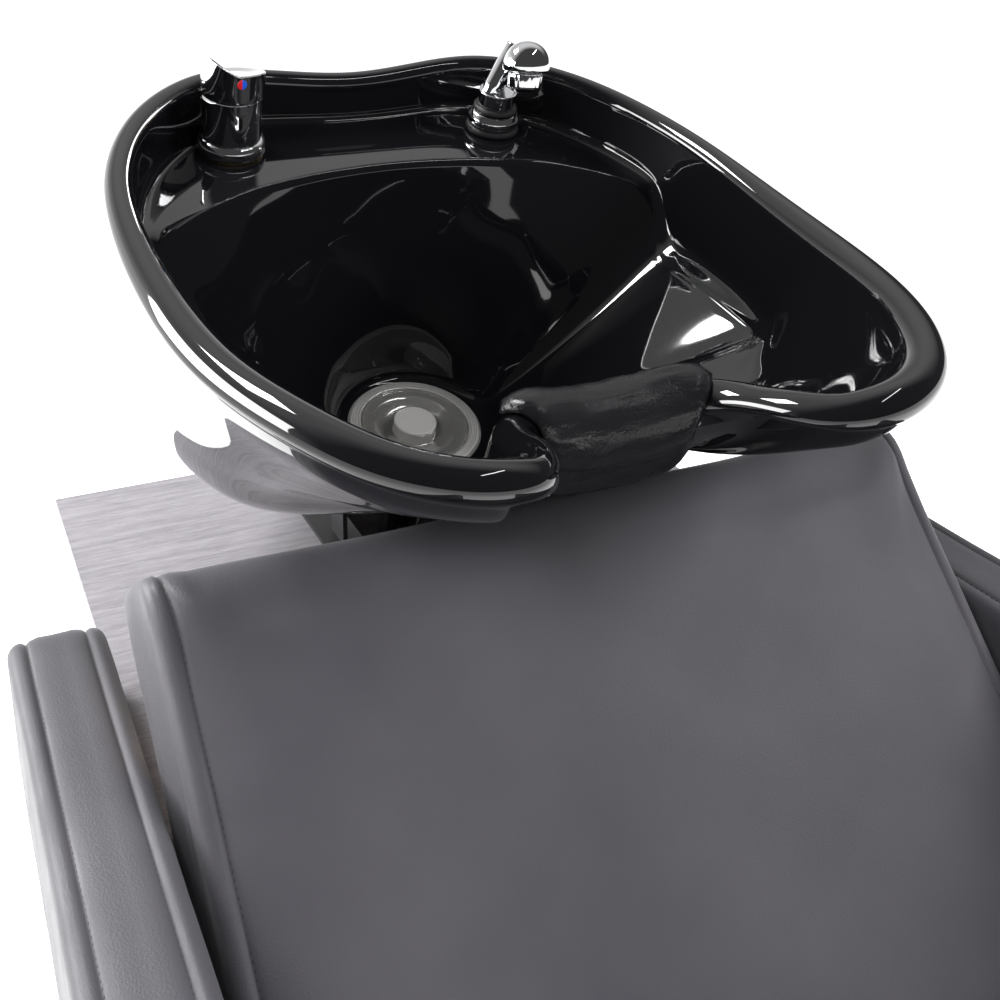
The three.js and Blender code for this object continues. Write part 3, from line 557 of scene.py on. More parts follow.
def basin_corners(angle, inner, rim_top, tube):
    """Corners of the basin's section from the drain hole to the rim, each (radius, height, rounding)."""
    lip, lip_height = slope_top(angle)
    deck = 1 - np.clip((angle - DECK_END + 3) / 5, 0, 1)
    front = smooth((angle - 130) / 28)  # towards the neck the shelf becomes a slope
    steepness = lerp(0.75, 1.35, smooth((angle - 160) / 18))
    side_start = lerp(lip, inner, 0.25)
    side_shelf = lip_height + 4 + 0.6 * (side_start - lip) * front
    lean = smooth((angle - 106) / 18) * (1 - smooth((angle - 146) / 14))  # the wall leans out beside the neck
    side_end = lerp(side_start, inner, lerp(0.7, 0.48, lean))
    side_foot = side_shelf + lerp(10, steepness * (side_end - side_start), front)
    shelf = lerp(side_shelf, DECK_HEIGHT + 0 * angle, deck)
    shelf_start = lerp(side_start, lip + 12, deck)
    shelf_end = lerp(side_end, inner - 1.5, deck)
    wall_foot = lerp(side_foot, shelf, deck)
    middle = lerp(FLOOR_RADIUS, lip, 0.5) - 6 * smooth((75 - angle) / 30)
    middle_height = lip_height * np.interp(angle, [80, 88], [0.6, 0.5])
    one = np.ones_like(angle)
    return [
        (HOLE_RADIUS * one, 0 * one, 2 * one),
        (FLOOR_RADIUS * one, 0 * one, 22 * one),
        (middle, middle_height, 60 * one),
        (lip - 3, lip_height - 4, lerp(14, 5, deck)),
        (lip + 2, lip_height, lerp(14, 4, deck)),
        (shelf_start, shelf, lerp(20, 8, deck)),
        (shelf_end, wall_foot, lerp(30, 20, deck)),
        (
            lerp(inner - lerp(3, 0.5, deck), lerp(shelf_end, inner, 0.6), lean),
            lerp(wall_foot, rim_top - tube, 0.5), 40 * one
        ),
    ]


def skirt_corners(angle, inner, rim_top, tube):
    """Corners of the skirt's section from under the rolled rim to its foot, back up inside it, and to the
    drain hole."""
    knee, knee_height, foot = [table(SKIRT, angle, column) for column in (1, 2, 3)]
    foot_height = 24 - 0.315 * foot * np.cos(np.radians(angle))
    outer_top, top = inner + tube * 1.5, rim_top - 2.4 * tube
    lip, lip_height = slope_top(angle)
    one = np.ones_like(angle)
    roof = np.minimum(knee - WALL, inner - 4)
    inside = lerp(FLOOR_RADIUS, lip, 0.5) + 22
    return [
        (outer_top, top, 14 * one),
        ((outer_top + knee) / 2 + 3, (top + knee_height) / 2 - 8, 60 * one),
        (knee, knee_height, 50 * one),
        ((knee + foot) / 2 + 3, (knee_height + foot_height) / 2 - 4, 50 * one),
        (foot, foot_height, 3 * one),
        (foot - WALL, foot_height, 3 * one),
        ((knee + foot) / 2 - WALL, (knee_height + foot_height) / 2, 30 * one),
        (roof, knee_height - 4, 20 * one),
        (inside, lip_height * 0.45, 20 * one),
        (FLOOR_RADIUS * one + 8, -WALL * one, 10 * one),
        (HOLE_RADIUS * one, -WALL * one, 2 * one),
    ]


def rounded_sections(corners, steps=6, between=3, first=None, last=None):
    """Rounds the corners of many sections at once. Each station gets the same number of samples."""
    line = np.stack([np.stack(c[:2], -1) for c in corners], 1)
    radii = np.stack([c[2] for c in corners], 1)
    if first is not None:
        line, radii = np.concatenate([first[:, None], line], 1), np.concatenate([radii[:, :1], radii], 1)
    if last is not None:
        line, radii = np.concatenate([line, last[:, None]], 1), np.concatenate([radii, radii[:, :1]], 1)
    count = line.shape[1]
    begin, finish, out = line.copy(), line.copy(), []
    for k in range(1, count - 1):
        before, after = line[:, k - 1] - line[:, k], line[:, k + 1] - line[:, k]
        size_before = np.linalg.norm(before, axis=1)
        size_after = np.linalg.norm(after, axis=1)
        reach = np.minimum(radii[:, k], 0.46 * np.minimum(size_before, size_after))
        begin[:, k] = line[:, k] + before * (reach / size_before)[:, None]
        finish[:, k] = line[:, k] + after * (reach / size_after)[:, None]
    for k in range(count):
        inner = 0 < k < count - 1
        for t in np.linspace(0, 1, steps) if inner else [0]:
            out.append((1 - t) ** 2 * begin[:, k] + 2 * t * (1 - t) * line[:, k] + t**2 * finish[:, k])
        if k < count - 1:
            for t in np.linspace(0, 1, between + 2)[1:-1]:
                out.append(lerp(finish[:, k], begin[:, k + 1], t))
    return np.stack(out, 1)


def bowl_points():
    edge = rim_line()
    along = np.roll(edge, -1, axis=0) - np.roll(edge, 1, axis=0)
    inward = np.stack([along[:, 1], -along[:, 0]], 1)
    inward /= np.linalg.norm(inward, axis=1)[:, None]
    thick = rim_radius(edge)
    inner = edge[:, :2] + inward * 2 * thick[:, None]
    radius = np.linalg.norm(inner, axis=1)
    angle = np.degrees(np.arctan2(np.abs(inner[:, 0]), inner[:, 1]))
    ray = inner / radius[:, None]
    top = edge[:, 2]
    tube_in, tube_out = np.stack([radius, top - thick], 1), np.stack([radius + 2 * thick, top - thick], 1)
    basin = rounded_sections(basin_corners(angle, radius, top, thick), last=tube_in)[:, :-1]
    skirt = rounded_sections(skirt_corners(angle, radius, top, thick), first=tube_out)[:, 1:]
    basin, skirt = round_smooth(basin, 3.0), round_smooth(skirt, 5.0)
    turn = np.linspace(0, math.pi, 18)
    reach = thick[:, None] * (1 + np.cos(turn))
    rise = thick[:, None] * (np.sin(turn) - 1)
    tube = np.empty((len(edge), len(turn), 3))
    tube[:, :, :2] = edge[:, None, :2] + inward[:, None] * reach[:, :, None]
    tube[:, :, 2] = top[:, None] + rise

    def on_ray(section):
        flat = section[:, :, :1] * ray[:, None]
        return np.concatenate([flat, section[:, :, 1:]], 2)

    return np.concatenate([on_ray(basin), tube, on_ray(skirt)], 1)


def bowl():
    points = bowl_points()
    mesh = solid("bowl", points, grid_faces(*points.shape[:2], True, True), 1e-5)
    mesh.transform(BOWL_FRAME)
    add_piece("glazed_bowl", mesh, "bowl_assembly", "glaze", "bowl_glaze", ["bowl"])


# Slabs of upholstery: a strip runs round an outline in the YZ plane, and side panels are sewn to it at both
# ends


def outline_points(corners, spacing):
    """A closed outline with rounded corners, sampled evenly. Each corner is (y, z, radius)."""
    line = softened(corners, 10, 9, closed=True)
    line = np.vstack([line, line[:1]])
    along = np.concatenate([[0], np.cumsum(np.linalg.norm(np.diff(line, axis=0), axis=1))])
    count = int(along[-1] / spacing)
    even = np.linspace(0, along[-1], count, endpoint=False)
    return np.stack([np.interp(even, along, line[:, axis]) for axis in (0, 1)], 1)


def inset(outline, amount):
    """The outline moved inwards. Its points run anticlockwise."""
    along = np.roll(outline, -1, axis=0) - np.roll(outline, 1, axis=0)
    inward = np.stack([-along[:, 1], along[:, 0]], 1)
    inward /= np.linalg.norm(inward, axis=1)[:, None]
    return outline + inward * amount


def slab_grid(corners, half_width, edge, seam_in, spacing):
    """Points of a slab, with close columns round its two seams. Columns run from the left side's middle to
    the right's."""
    outline = outline_points(corners, spacing)
    centre = outline.mean(0)
    seam = half_width - seam_in
    near = np.array([-9, -5, -2.6, -1.2, 0, 1.2, 2.6, 5, 9])
    inner = np.arange(-seam + 9 + spacing, seam - 9, spacing)
    flat = [*(near - seam), *inner, *(near + seam)]
    flat = [x for x in flat if abs(x) < half_width - edge - 0.5]
    turns = np.linspace(0, math.pi / 2, 8)
    rings = np.linspace(1, 0, 14)[1:-1]
    columns = []
    side = inset(outline, edge)
    for share in rings[::-1]:
        columns.append((-half_width, centre + (side - centre) * share))
    for turn in turns[::-1]:
        columns.append(
            (-half_width + edge - edge * math.sin(turn), inset(outline, edge * (1 - math.cos(turn))))
        )
    columns += [(x, outline) for x in flat]
    for turn in turns:
        columns.append(
            (half_width - edge + edge * math.sin(turn), inset(outline, edge * (1 - math.cos(turn))))
        )
    for share in rings:
        columns.append((half_width, centre + (side - centre) * share))
    return np.stack([np.column_stack([np.full(len(o), x), o]) for x, o in columns], 1)


def slab_mesh(name, points):
    rows, columns = points.shape[:2]
    faces = [list(f) for f in grid_faces(rows, columns)]
    faces.append([i * columns for i in range(rows)])
    faces.append([i * columns + columns - 1 for i in range(rows)])
    return solid(name, points, faces)


def inflate(points, pressure, cap, held):
    """Runs a cloth simulation on an evenly remeshed copy and returns how far each point of the slab moves, in
    mm."""
    mesh = slab_mesh("simulated", points)
    body = bpy.data.objects.new("simulated", mesh)
    bpy.context.scene.collection.objects.link(body)
    remesh = body.modifiers.new("remesh", "REMESH")
    remesh.mode = "VOXEL"
    remesh.voxel_size = 0.009
    apply_modifiers(body)
    start = vertex_array(body.data)
    pins = body.vertex_groups.new(name="held")
    pins.add([k for k, p in enumerate(start / MM) if held(p)], 1.0, "REPLACE")
    cloth = body.modifiers.new("cloth", "CLOTH")
    settings = cloth.settings
    settings.quality = 4
    settings.mass = 0.3
    settings.tension_stiffness = 25
    settings.compression_stiffness = 25
    settings.shear_stiffness = 12
    settings.bending_stiffness = 1.5
    settings.use_pressure = True
    settings.uniform_pressure_force = pressure
    settings.effector_weights.gravity = 0
    settings.vertex_group_mass = pins.name
    cloth.collision_settings.use_collision = False
    scene = bpy.context.scene
    for number in range(1, 21):
        scene.frame_set(number)
    apply_modifiers(body)
    moved = (vertex_array(body.data) - start) / MM
    scene.frame_set(1)
    size = np.linalg.norm(moved, axis=1)[:, None]
    moved *= np.minimum(1, cap / np.maximum(size, 1e-6))
    bpy.data.objects.remove(body)
    return spread(points, start / MM, moved)


def spread(points, known, values, neighbours=12):
    """Values at the known points carried over smoothly to the slab's points."""
    tree = kdtree.KDTree(len(known))
    for k, p in enumerate(known):
        tree.insert(p, k)
    tree.balance()
    out = np.empty(points.shape)
    for index in np.ndindex(points.shape[:2]):
        found = tree.find_n(points[index], neighbours)
        weights = np.array([1 / (distance**2 + 30) for _, _, distance in found])
        out[index] = weights @ values[[k for _, k, _ in found]] / weights.sum()
    return out


def vertex_array(mesh):
    flat = np.empty(len(mesh.vertices) * 3, np.float32)
    mesh.vertices.foreach_get("co", flat)
    return flat.reshape(-1, 3).astype(float)


def apply_modifiers(body):
    graph = bpy.context.evaluated_depsgraph_get()
    mesh = bpy.data.meshes.new_from_object(body.evaluated_get(graph))
    body.modifiers.clear()
    body.data = mesh


def outward(points):
    """Unit normals of a grid of points, by their neighbours along and across."""
    along = np.roll(points, -1, axis=0) - np.roll(points, 1, axis=0)
    across = np.gradient(points, axis=1)
    normal = np.cross(along, across)
    normal /= np.maximum(np.linalg.norm(normal, axis=2), 1e-9)[:, :, None]
    middle = points.reshape(-1, 3).mean(0)
    return normal * np.sign(np.median(((points - middle) * normal).sum(2)))


def wrinkled(points, height, size, seed):
    """Slow unevenness of stretched leather over foam, in mm."""
    offset = Vector((seed, seed * 1.7, seed * 0.3))
    flat = points.reshape(-1, 3)
    values = [noise.noise(Vector(p) / size + offset) for p in flat]
    return np.array(values).reshape(points.shape[:2]) * height


def slab(corners, centre_x, half_width, edge, seam_in, spacing, pressure, cap, held, seed):
    """Simulated slab points with sewn seams: (points, normals, the columns of the two seams)."""
    points = slab_grid(corners, half_width, edge, seam_in, spacing)
    seams = [int(np.argmin(np.abs(points[0, :, 0] - side * (half_width - seam_in)))) for side in (-1, 1)]
    points = points + inflate(points, pressure, cap, held)
    normal = outward(points)
    points = points + normal * wrinkled(points, 1.4, 90, seed)[:, :, None]
    away = np.min([np.abs(points[:, :, 0].mean(0) - points[:, k, 0].mean()) for k in seams], 0)
    groove = -2.0 * np.exp(-((away / 1.3) ** 2)) - 1.0 * np.exp(-((away / 5) ** 2))
    puff = 0.9 * np.exp(-(((away - 11) / 6) ** 2))
    points = points + normal * (groove + puff)[None, :, None]
    points[:, :, 0] += centre_x
    return points, normal, seams


def stitches(name, points, normal, column, side, body, slot, at=None):
    """A row of lockstitches along one column of a slab, each a small capsule lying in the seam."""
    line = points[:, column] + side * np.array([1.0, 0, 0])
    line = np.vstack([line, line[:1]])
    up = np.vstack([normal[:, column], normal[:1, column]])
    along = np.concatenate([[0], np.cumsum(np.linalg.norm(np.diff(line, axis=0), axis=1))])
    pitch, length, thick = 4.6, 3.4, 0.55
    starts = np.arange(0, along[-1] - pitch, pitch)
    pick = lambda table, at: np.stack([np.interp(at, along, table[:, axis]) for axis in range(3)], 1)
    middle = pick(line, starts + pitch / 2)
    ahead = pick(line, starts + pitch / 2 + 0.5) - middle
    ahead /= np.linalg.norm(ahead, axis=1)[:, None]
    rise = pick(up, starts + pitch / 2)
    rise /= np.linalg.norm(rise, axis=1)[:, None]
    cross = np.cross(ahead, rise)
    shape = [(-0.5, 0.15), (-0.42, 0.75), (-0.2, 1.0), (0.2, 1.0), (0.42, 0.75), (0.5, 0.15)]
    vertices, faces = [], []
    for c, a, r, x in zip(middle, ahead, rise, cross):
        base = len(vertices)
        for share, wide in shape:
            lift = thick * (1.2 - 4.5 * share**2)
            for turn in np.linspace(0, 2 * math.pi, 6, endpoint=False):
                round_part = (r * math.sin(turn) + x * math.cos(turn)) * thick * wide
                vertices.append(c + a * share * length + r * lift + round_part)
        rings = len(shape)
        faces += [[base + k for k in f] for f in (grid_faces(rings, 6, False, True)).tolist()]
        faces.append([base + k for k in range(6)])
        faces.append([base + (rings - 1) * 6 + k for k in range(6)])
    mesh = solid(name, vertices, faces, 1e-7)
    return add_piece(name, mesh, body, "thread", slot, at=at)


def upholster(name, node_name, corners, centre_x, half_width, held, at=None, **choices):
    shape = dict(edge=11, seam_in=12, spacing=6.5, pressure=4, cap=9, seed=1.0)
    shape.update(choices)
    points, normal, seams = slab(corners, centre_x, half_width, held=held, **shape)
    made = add_piece(name, slab_mesh(name, points), "base", "upholstery", "upholstery", [node_name], at)
    for side, label, column in ((-1, "left", seams[0]), (1, "right", seams[1])):
        stitches(f"{name}_{label}_stitching", points, normal, column, -side, "base", "upholstery", at)
    return points, normal, seams


def box_corners(low, high, radii):
    """Four corners in the YZ plane, anticlockwise from the lowest front one."""
    front, rear, bottom, top = low.y / MM, high.y / MM, low.z / MM, high.z / MM
    spots = [(front, bottom), (rear, bottom), (rear, top), (front, top)]
    return [(y, z, r) for (y, z), r in zip(spots, radii)]


def armrests():
    low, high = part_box("left_armrest")
    half = (high.x - low.x) / 2 / MM
    corners = box_corners(low, high, (20, 20, 24, 30))
    held = lambda p: p[2] < low.z / MM + 12
    for name, sign in (("left", -1), ("right", 1)):
        low_side, high_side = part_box(f"{name}_armrest")
        centre = (low_side.x + high_side.x) / 2 / MM
        upholster(
            f"{name}_arm_cushion", f"{name}_armrest", corners, centre, half, held, spacing=8, cap=5,
            seed=3.0 + sign
        )


def seat():
    low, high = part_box("seat_cushion")
    corners = box_corners(low, high, (14, 14, 26, 34))
    held = lambda p: p[2] < low.z / MM + 12
    upholster("seat_cover", "seat_cushion", corners, 0, high.x / MM, held, cap=12, seed=7.0)


def backrest():
    corners = [(-BACK_LENGTH, -BACK_FOAM, 12), (0, -BACK_FOAM, 12), (0, 0, 30), (-BACK_LENGTH, 0, 24)]
    at = Matrix.Translation(BACK_TOP * MM) @ Matrix.Rotation(BACK_ANGLE, 4, "X")
    held = lambda p: p[2] < -BACK_FOAM + 12
    upholster("backrest_cover", "backrest_cushion", corners, 0, BACK_HALF_WIDTH, held, at, cap=7, seed=11.0)


# Neck rest: a soft sleeve over the rim in the notch


def neck_rest():
    edge = rim_line()
    along = np.roll(edge, -1, axis=0) - np.roll(edge, 1, axis=0)
    inward = np.stack([along[:, 1], -along[:, 0]], 1)
    inward /= np.linalg.norm(inward, axis=1)[:, None]
    middle = int(np.argmin(edge[:, 1] + 2 * np.abs(edge[:, 0])))
    size = np.linalg.norm(along, axis=1) / 2
    reach = int(61 / size[middle])
    picked = [(middle + k) % len(edge) for k in range(-reach, reach + 1)]
    centre = np.column_stack([edge[picked, :2] + inward[picked] * RIM_RADIUS, edge[picked, 2] - RIM_RADIUS])
    side = inward[picked]
    inside, outside = RIM_RADIUS + 1.0, RIM_RADIUS + 12.5
    start, end, hangs_from = -0.44 * math.pi, 0.82 * math.pi, -0.2 * math.pi
    turns = 48
    share = np.linspace(-1, 1, len(picked))
    puff = np.sqrt(1 - np.abs(share * 0.995) ** 9)
    sections = []
    for k in range(len(picked)):
        ring = []
        for radius, first, last in ((outside, start, end), (inside, end, start)):
            for turn in np.linspace(first, last, turns):
                swell = radius if radius == inside else inside + (radius - inside) * puff[k]
                bend = max(turn, hangs_from)
                flat = centre[k, :2] - side[k] * swell * math.cos(bend)
                ring.append((*flat, centre[k, 2] + swell * math.sin(bend) + outside * (turn - bend)))
        sections.append(ring)
    points = np.array(sections)
    hub = centre[:, None]
    normal = points - hub
    normal /= np.linalg.norm(normal, axis=2)[:, :, None]
    creases = np.zeros(points.shape[:2])
    for k, row in enumerate(points):
        for j in range(turns):
            p = Vector(row[j])
            fold = noise.noise(Vector((p.x / 26, (p.y + p.z) / 7, 4.2)))
            fine = noise.noise(Vector((p.x / 9, (p.y + p.z) / 4, 9.1)))
            creases[k, j] = 1.1 * (abs(fold) * 2 - 0.5) + 0.35 * fine
    ends = np.clip((1 - np.abs(share)) * 8, 0, 1)[:, None]
    points = points + normal * (creases * ends)[:, :, None]
    rows, columns = points.shape[:2]
    faces = [list(f) for f in grid_faces(rows, columns, False, True)]
    half = columns // 2
    last = (rows - 1) * columns
    for j in range(half - 1):
        quad = [j, j + 1, columns - 2 - j, columns - 1 - j]
        faces.append(quad)
        faces.append([last + k for k in reversed(quad)])
    mesh = solid("neck_rest", points, faces)
    mesh.transform(BOWL_FRAME)
    made = add_piece("neck_rest_sleeve", mesh, "bowl_assembly", "neck", "neck_vinyl", ["neck_rest"])


# Drain, mixer and spray


def drain_fittings():
    flange = [
        (40, -6), (40, 1), (46.8, 1, 0.3), (46.8, 3.2, 0.4), (48.2, 3.7), (56, 2.9, 1.5), (58.3, 0.4),
        (44, 0.3),
        (44, -44), (21.5, -50), (21.5, -58), (18, -58), (18, -46), (34, -40), (39, -12),
    ]
    mesh = lathe("strainer", flange, 0.8, 128, True)
    crisp(add_piece(
        "strainer_flange", mesh, "bowl_assembly", "turned", "brushed_steel", ["drain_strainer"], BOWL_FRAME
    ))
    plate = [
        (0, -8.4), (5, -8.4), (28, -7.4), (36.4, -1.4), (39.5, 1.3), (46.1, 1.3, 0.3), (46.1, 3.4, 0.4),
        (44.8, 3.5, 0.4),
        (44, 2.2, 0.4), (36.5, 1.4, 2), (30, -4.4, 4), (22, -5.6, 3), (18.6, -5.4, 1), (18.4, 5.6, 0.5),
        (17.4, 6.5, 0.5),
        (0, 6.5),
    ]
    mesh = lathe("stopper", plate, 0.8, 128)
    made = add_piece(
        "drain_stopper_plate", mesh, "drain_stopper", "dish", "brushed_steel", ["drain_stopper"], BOWL_FRAME
    )
    mesh.materials.append(LOOKS["knob"])
    for polygon in mesh.polygons:
        middle = polygon.center / MM
        polygon.material_index = int(math.hypot(middle.x, middle.y) < 18.8 and middle.z > -5)
    crisp(made)


BODY_RADIUS = 24
CAP_RADIUS = 25.6
CAP_FOOT = 52
CAP_REAR = 61
CAP_FRONT = 77
HORN = 15  # the thumb edge's height above the cap's sloping top
HORN_FROM, HORN_PEAK, HORN_TO = 176, 206, 266  # its place round the cap, in degrees from +X
DOT_HEIGHT = 70


def tube_top(x, y):
    """Height of the body's upper edge. It is cut low at the rear, for a lever that is lifted at the front.

    The part's joint lever_lift turns the other way: it lowers the lever's front, which cuts into this edge.
    """
    from_rear = abs(math.degrees(math.atan2(x, y)))
    return TUBE_TOP - TUBE_CUT * math.cos(math.radians(min(max(from_rear - 45, 0), 90)))


def cap_top(x, y):
    """Height of the lever's top: it slopes down to the rear, and a thumb edge stands up at the front left."""
    front = (1 - y / CAP_RADIUS) / 2
    turn = math.degrees(math.atan2(y, x)) % 360
    climb = float(smooth((turn - HORN_FROM) / (HORN_PEAK - HORN_FROM)))
    fall = min(max((HORN_TO - turn) / (HORN_TO - HORN_PEAK), 0), 1)
    rise = climb if turn < HORN_PEAK else lerp(fall, float(smooth(fall)), 0.5)
    outer = float(smooth((math.hypot(x, y) / CAP_RADIUS - 0.4) / 0.6))
    return lerp(CAP_REAR, CAP_FRONT, front) + HORN * rise * outer - 1.5 * (1 - outer)


def lever_mesh():
    edge = 1.3
    rows = []
    for turn in np.linspace(0, 2 * math.pi, 144, endpoint=False):
        c, s = math.cos(turn), math.sin(turn)
        row = [(0, 0, 55.2), (19 * c, 19 * s, 55.2), (22.6 * c, 22.6 * s, 53), (22.6 * c, 22.6 * s, CAP_FOOT)]
        row += [(24.9 * c, 24.9 * s, CAP_FOOT), (CAP_RADIUS * c, CAP_RADIUS * s, CAP_FOOT + 0.8)]
        top = cap_top(CAP_RADIUS * c, CAP_RADIUS * s)
        for share in (0.2, 0.4, 0.6, 0.8):
            row.append((CAP_RADIUS * c, CAP_RADIUS * s, lerp(CAP_FOOT + 0.8, top - edge, share)))
        for bend in np.linspace(0, math.pi / 2, 6):
            r = CAP_RADIUS - edge * (1 - math.cos(bend))
            row.append((r * c, r * s, cap_top(r * c, r * s) - edge * (1 - math.sin(bend))))
        for share in np.linspace(1, 0, 30)[1:]:
            r = (CAP_RADIUS - edge) * share
            row.append((r * c, r * s, cap_top(r * c, r * s)))
        rows.append(row)
    points = np.array(rows)
    return solid("lever", points, grid_faces(*points.shape[:2], True, False))


def mixer():
    at = fitting(-FITTING_X)
    base = [(15.8, 3.3), (28, 3.3), (28.6, 6, 2), (28.2, 10.5, 2), (25.2, 14, 2), (15.8, 14)]
    mesh = lathe("mixer_base", base, 1.0, 96, True)
    crisp(add_piece(
        "mixer_foot_ring", mesh, "bowl_assembly", "chrome", "polished_chrome", ["mixer_base_ring"], at
    ))
    full = TUBE_TOP
    body = [
        (6, -48), (15.5, -48), (15.5, 14.3), (BODY_RADIUS, 14.3), (BODY_RADIUS, 40), (BODY_RADIUS, full, 0.7),
        (15, full),
        (15, 20), (6, 16),
    ]
    mesh = lathe("mixer_tube", body, 0.8, 96, True)
    for vertex in mesh.vertices:
        x, y, z = vertex.co / MM
        if z > 40 and math.hypot(x, y) > 14:
            vertex.co.z = lerp(40, tube_top(x, y), (z - 40) / (full - 40)) * MM
    crisp(add_piece("mixer_tube", mesh, "bowl_assembly", "chrome", "polished_chrome", ["mixer_body"], at))
    crisp(add_piece(
        "mixer_cap_lever", lever_mesh(), "mixer_lever", "chrome", "polished_chrome", ["mixer_lever"], at
    ))
    dot = lathe("dot", [(0, 24.5), (3.8, 24.5), (3.9, 25.9), (0, 26.2)], 0.3, 32)
    dot.transform(Matrix.Translation((0, 0, DOT_HEIGHT * MM)) @ Matrix.Rotation(math.pi / 2, 4, "X"))
    add_piece("hot_cold_dot", dot, "mixer_lever", "indicator", "indicator", ["mixer_indicator"], at)


def together(name, meshes):
    """One mesh from several closed ones."""
    made = bmesh.new()
    for mesh in meshes:
        made.from_mesh(mesh)
    joined = bpy.data.meshes.new(name)
    made.to_mesh(joined)
    made.free()
    return joined


def moved(mesh, *steps):
    for step in steps:
        mesh.transform(step)
    return mesh


def turn(degrees, axis):
    return Matrix.Rotation(math.radians(degrees), 4, axis)


def shift(x, y, z):
    return Matrix.Translation(Vector((x, y, z)) * MM)


def spray():
    at = fitting(FITTING_X)
    chrome_look = ("chrome", "polished_chrome")
    rubber_look = ("rubber", "black_rubber")
    seal = lathe("seal", [(15.8, 0.3), (22.6, 0.3), (24, 3, 2), (22.6, 6.4), (15.8, 6.4)], 1.2, 96, True)
    add_piece("spray_foot_seal", seal, "bowl_assembly", *rubber_look, ["spray_lower_seal"], at)
    collar = [
        (9, -40), (15.5, -40), (15.5, 6.8), (21, 6.8), (23.2, 10, 3), (23.2, 14, 4), (19.6, 19, 2), (9, 19)
    ]
    mesh = lathe("collar", collar, 1.2, 96, True)
    crisp(add_piece("spray_collar_ring", mesh, "bowl_assembly", *chrome_look, ["spray_collar"], at))
    upper = lathe("seal", [(9.3, 19.3), (18.6, 19.3), (19.6, 21.6, 2), (18.2, 24), (9.3, 24)], 1.2, 96, True)
    add_piece("spray_top_seal", upper, "bowl_assembly", *rubber_look, ["spray_upper_seal"], at)
    neck = [
        (0, -24), (7, -24), (7, 24.4), (15.6, 24.4), (15.8, 35, 1), (17, 37), (15.6, 37.6), (13.6, 35.6),
        (0, 35.6)
    ]
    stalk = lathe("stalk", [(0, -4), (9, -4), (9.6, 4, 2), (8.4, 44, 2), (0, 44)], 1, 64)
    dome = [
        (0, 0), (8, -1.4, 6), (14.2, -5.4, 8), (18.4, -11.6, 8), (20.3, -19, 8), (19.8, -25, 1.5),
        (16.5, -25.6), (16, -24),
        (0, -24),
    ]
    head = [turn(-20, "X"), turn(4, "Y"), shift(15, -9, 86)]
    parts = [
        lathe("neck", neck, 0.8, 96),
        moved(stalk, turn(-9, "X"), turn(27, "Y"), shift(-3, 5.5, 34)),
        moved(lathe("dome", dome, 0.8, 96), *head),
    ]
    crisp(add_piece(
        "hand_spray", together("hand_spray", parts), "spray_handset", *chrome_look, ["spray_handset"], at
    ))
    add_piece(
        "hand_spray_nozzle", moved(nozzle_mesh(), *head), "spray_handset", *chrome_look, ["spray_nozzle"], at
    )


def nozzle_mesh():
    """The spray's nozzle ring: fluted outside, with a rose plate recessed in its end."""
    flutes = 16
    line = softened(
        [(0, -25.6), (13.6, -25.6), (14.4, -27.5, 1), (14.8, -29, 1), (14.8, -38.4, 1), (13.4, -39.8, 1), (
            11.2, -39.8, 0.6
        ),
         (10.6, -36, 0.8), (0, -35.4)], 0.8,
    )
    around = np.linspace(0, 2 * math.pi, 192, endpoint=False)[:, None]
    fluted = 0.45 * (np.abs(np.cos(around * flutes / 2)) - 0.5) * ((line[:, 0] > 14.2) & (line[:, 1] < -28))
    radius = line[:, 0] + fluted
    points = np.stack([radius * np.cos(around), radius * np.sin(around), line[:, 1] + 0 * around], -1)
    return solid("nozzle", points, grid_faces(192, len(line), True, False))


def keep_cad_pieces():
    """Finishes for the CAD nodes that stay as they are, with small bevels on their edges."""
    slots = {row["node"]: row["material_slot"] for row in frame["record"]["subparts"]}
    for name, made in nodes.items():
        look = SLOT_LOOK[slots[name]]
        if name.endswith(("left_panel", "right_panel", "front_panel")) or name == "rear_door":
            look = "laminate_z"
        made.data.materials.clear()
        made.data.materials.append(LOOKS[look])
        for polygon in made.data.polygons:
            polygon.material_index = 0
        bevel = made.modifiers.new("edge", "BEVEL")
        bevel.width = 0.0006
        bevel.segments = 2
        bevel.limit_method = "ANGLE"
        bevel.angle_limit = math.radians(40)
        bevel.harden_normals = False


# Studio


def softbox(name, at, aim, width, height, power, mirrored=True):
    """An area light. One that isn't mirrored lights the leather but leaves no reflection in the glaze and
    chrome."""
    data = bpy.data.lights.new(name, "AREA")
    data.shape = "RECTANGLE"
    data.size, data.size_y = width, height
    data.energy = power
    made = bpy.data.objects.new(name, data)
    made.location = at
    made.visible_glossy = mirrored
    made.rotation_euler = (Vector(aim) - Vector(at)).to_track_quat("-Z", "Y").to_euler()
    bpy.context.scene.collection.objects.link(made)


def product(tree, first, second):
    return node(tree, "Math", {"operation": "MULTIPLY"}, **{"0": first, "1": second}).outputs[0]


def total(tree, first, second):
    return node(tree, "Math", {"operation": "ADD"}, **{"0": first, "1": second}).outputs[0]


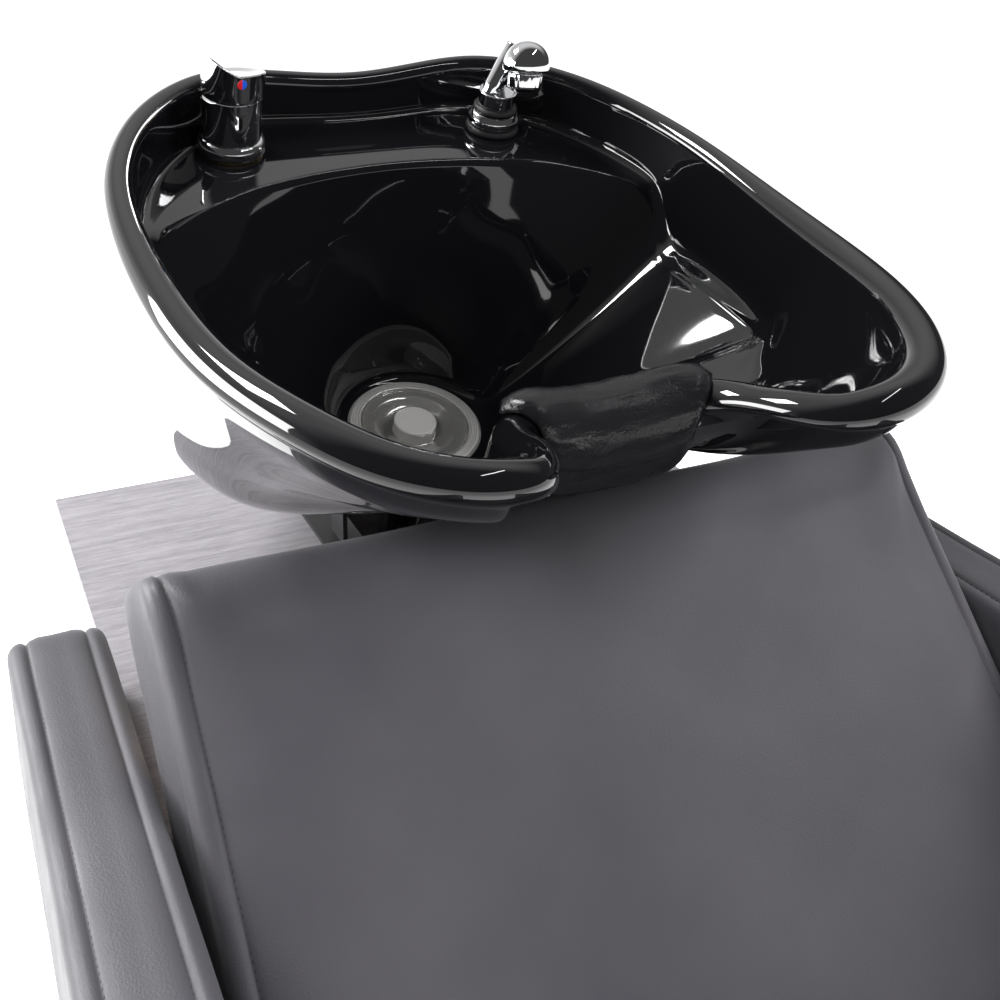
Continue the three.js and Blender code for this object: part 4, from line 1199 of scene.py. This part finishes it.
def backdrop(tree):
    """Brightness by direction: bright low down behind and at the left, grey above there, dark towards the
    seat."""
    x, y, z = node(tree, "SeparateXYZ", Vector=node(tree, "TexCoord").outputs["Generated"]).outputs
    behind = total(tree, product(tree, y, 0.95), product(tree, x, -0.35))
    low = product(tree, ramp(tree, behind, 0.0, 1.0, 0.3, 0.75), ramp(tree, z, 1.0, 0.0, 0.2, 0.55))
    high = product(tree, ramp(tree, y, 0.0, 1.0, -0.1, 0.3), ramp(tree, z, 0.0, 1.0, 0.3, 0.7))
    return total(tree, product(tree, low, 1.1), total(tree, product(tree, high, 0.6), 0.05))


def studio():
    world = bpy.data.worlds.new("studio")
    world.use_nodes = True
    tree = world.node_tree
    sky = tree.nodes["Background"]
    tree.links.new(backdrop(tree), sky.inputs["Strength"])
    sky.inputs["Color"].default_value = (1, 1, 1, 1)
    bpy.context.scene.world = world
    softbox("key", (-2.2, -0.9, 2.9), (0, 0.2, 0.7), 1.6, 1.2, 55, False)
    softbox("fill", (2.4, -1.0, 2.4), (0, 0.2, 0.7), 1.2, 1.6, 95, False)
    softbox("front", (0.5, -2.7, 1.5), (0.1, 0.1, 0.7), 2.0, 1.2, 34, False)
    softbox("basin_glint", (-0.97, 1.41, 2.64), (0.21, 0.4, 0.82), 0.7, 0.6, 45)
    softbox("wall_panel", (-1.78, 1.17, 1.3), (0.2, 0.2, 0.87), 1.6, 0.9, 60)
    softbox("lip_line", (1.2, -0.5, 3.2), (0, 0.4, 0.8), 1.6, 0.06, 6)
    floor = bpy.data.meshes.new("floor")
    corners = [(x * FLOOR_REACH, y * FLOOR_REACH, 0) for x, y in ((-1, -1), (1, -1), (1, 1), (-1, 1))]
    floor.from_pydata(corners, [], [(0, 1, 2, 3)])
    paper = material(
        "pale_floor", Base_Color=(0.9, 0.9, 0.9, 1), Roughness=0.9, Emission_Color=(1, 1, 1, 1),
        Emission_Strength=0.9
    )[0]
    floor.materials.append(paper)
    made = bpy.data.objects.new("floor", floor)
    bpy.context.scene.collection.objects.link(made)
    bpy.context.scene.view_settings.view_transform = "Standard"


camera()
studio()
keep_cad_pieces()
bowl()
neck_rest()
drain_fittings()
mixer()
spray()
armrests()
seat()
backrest()
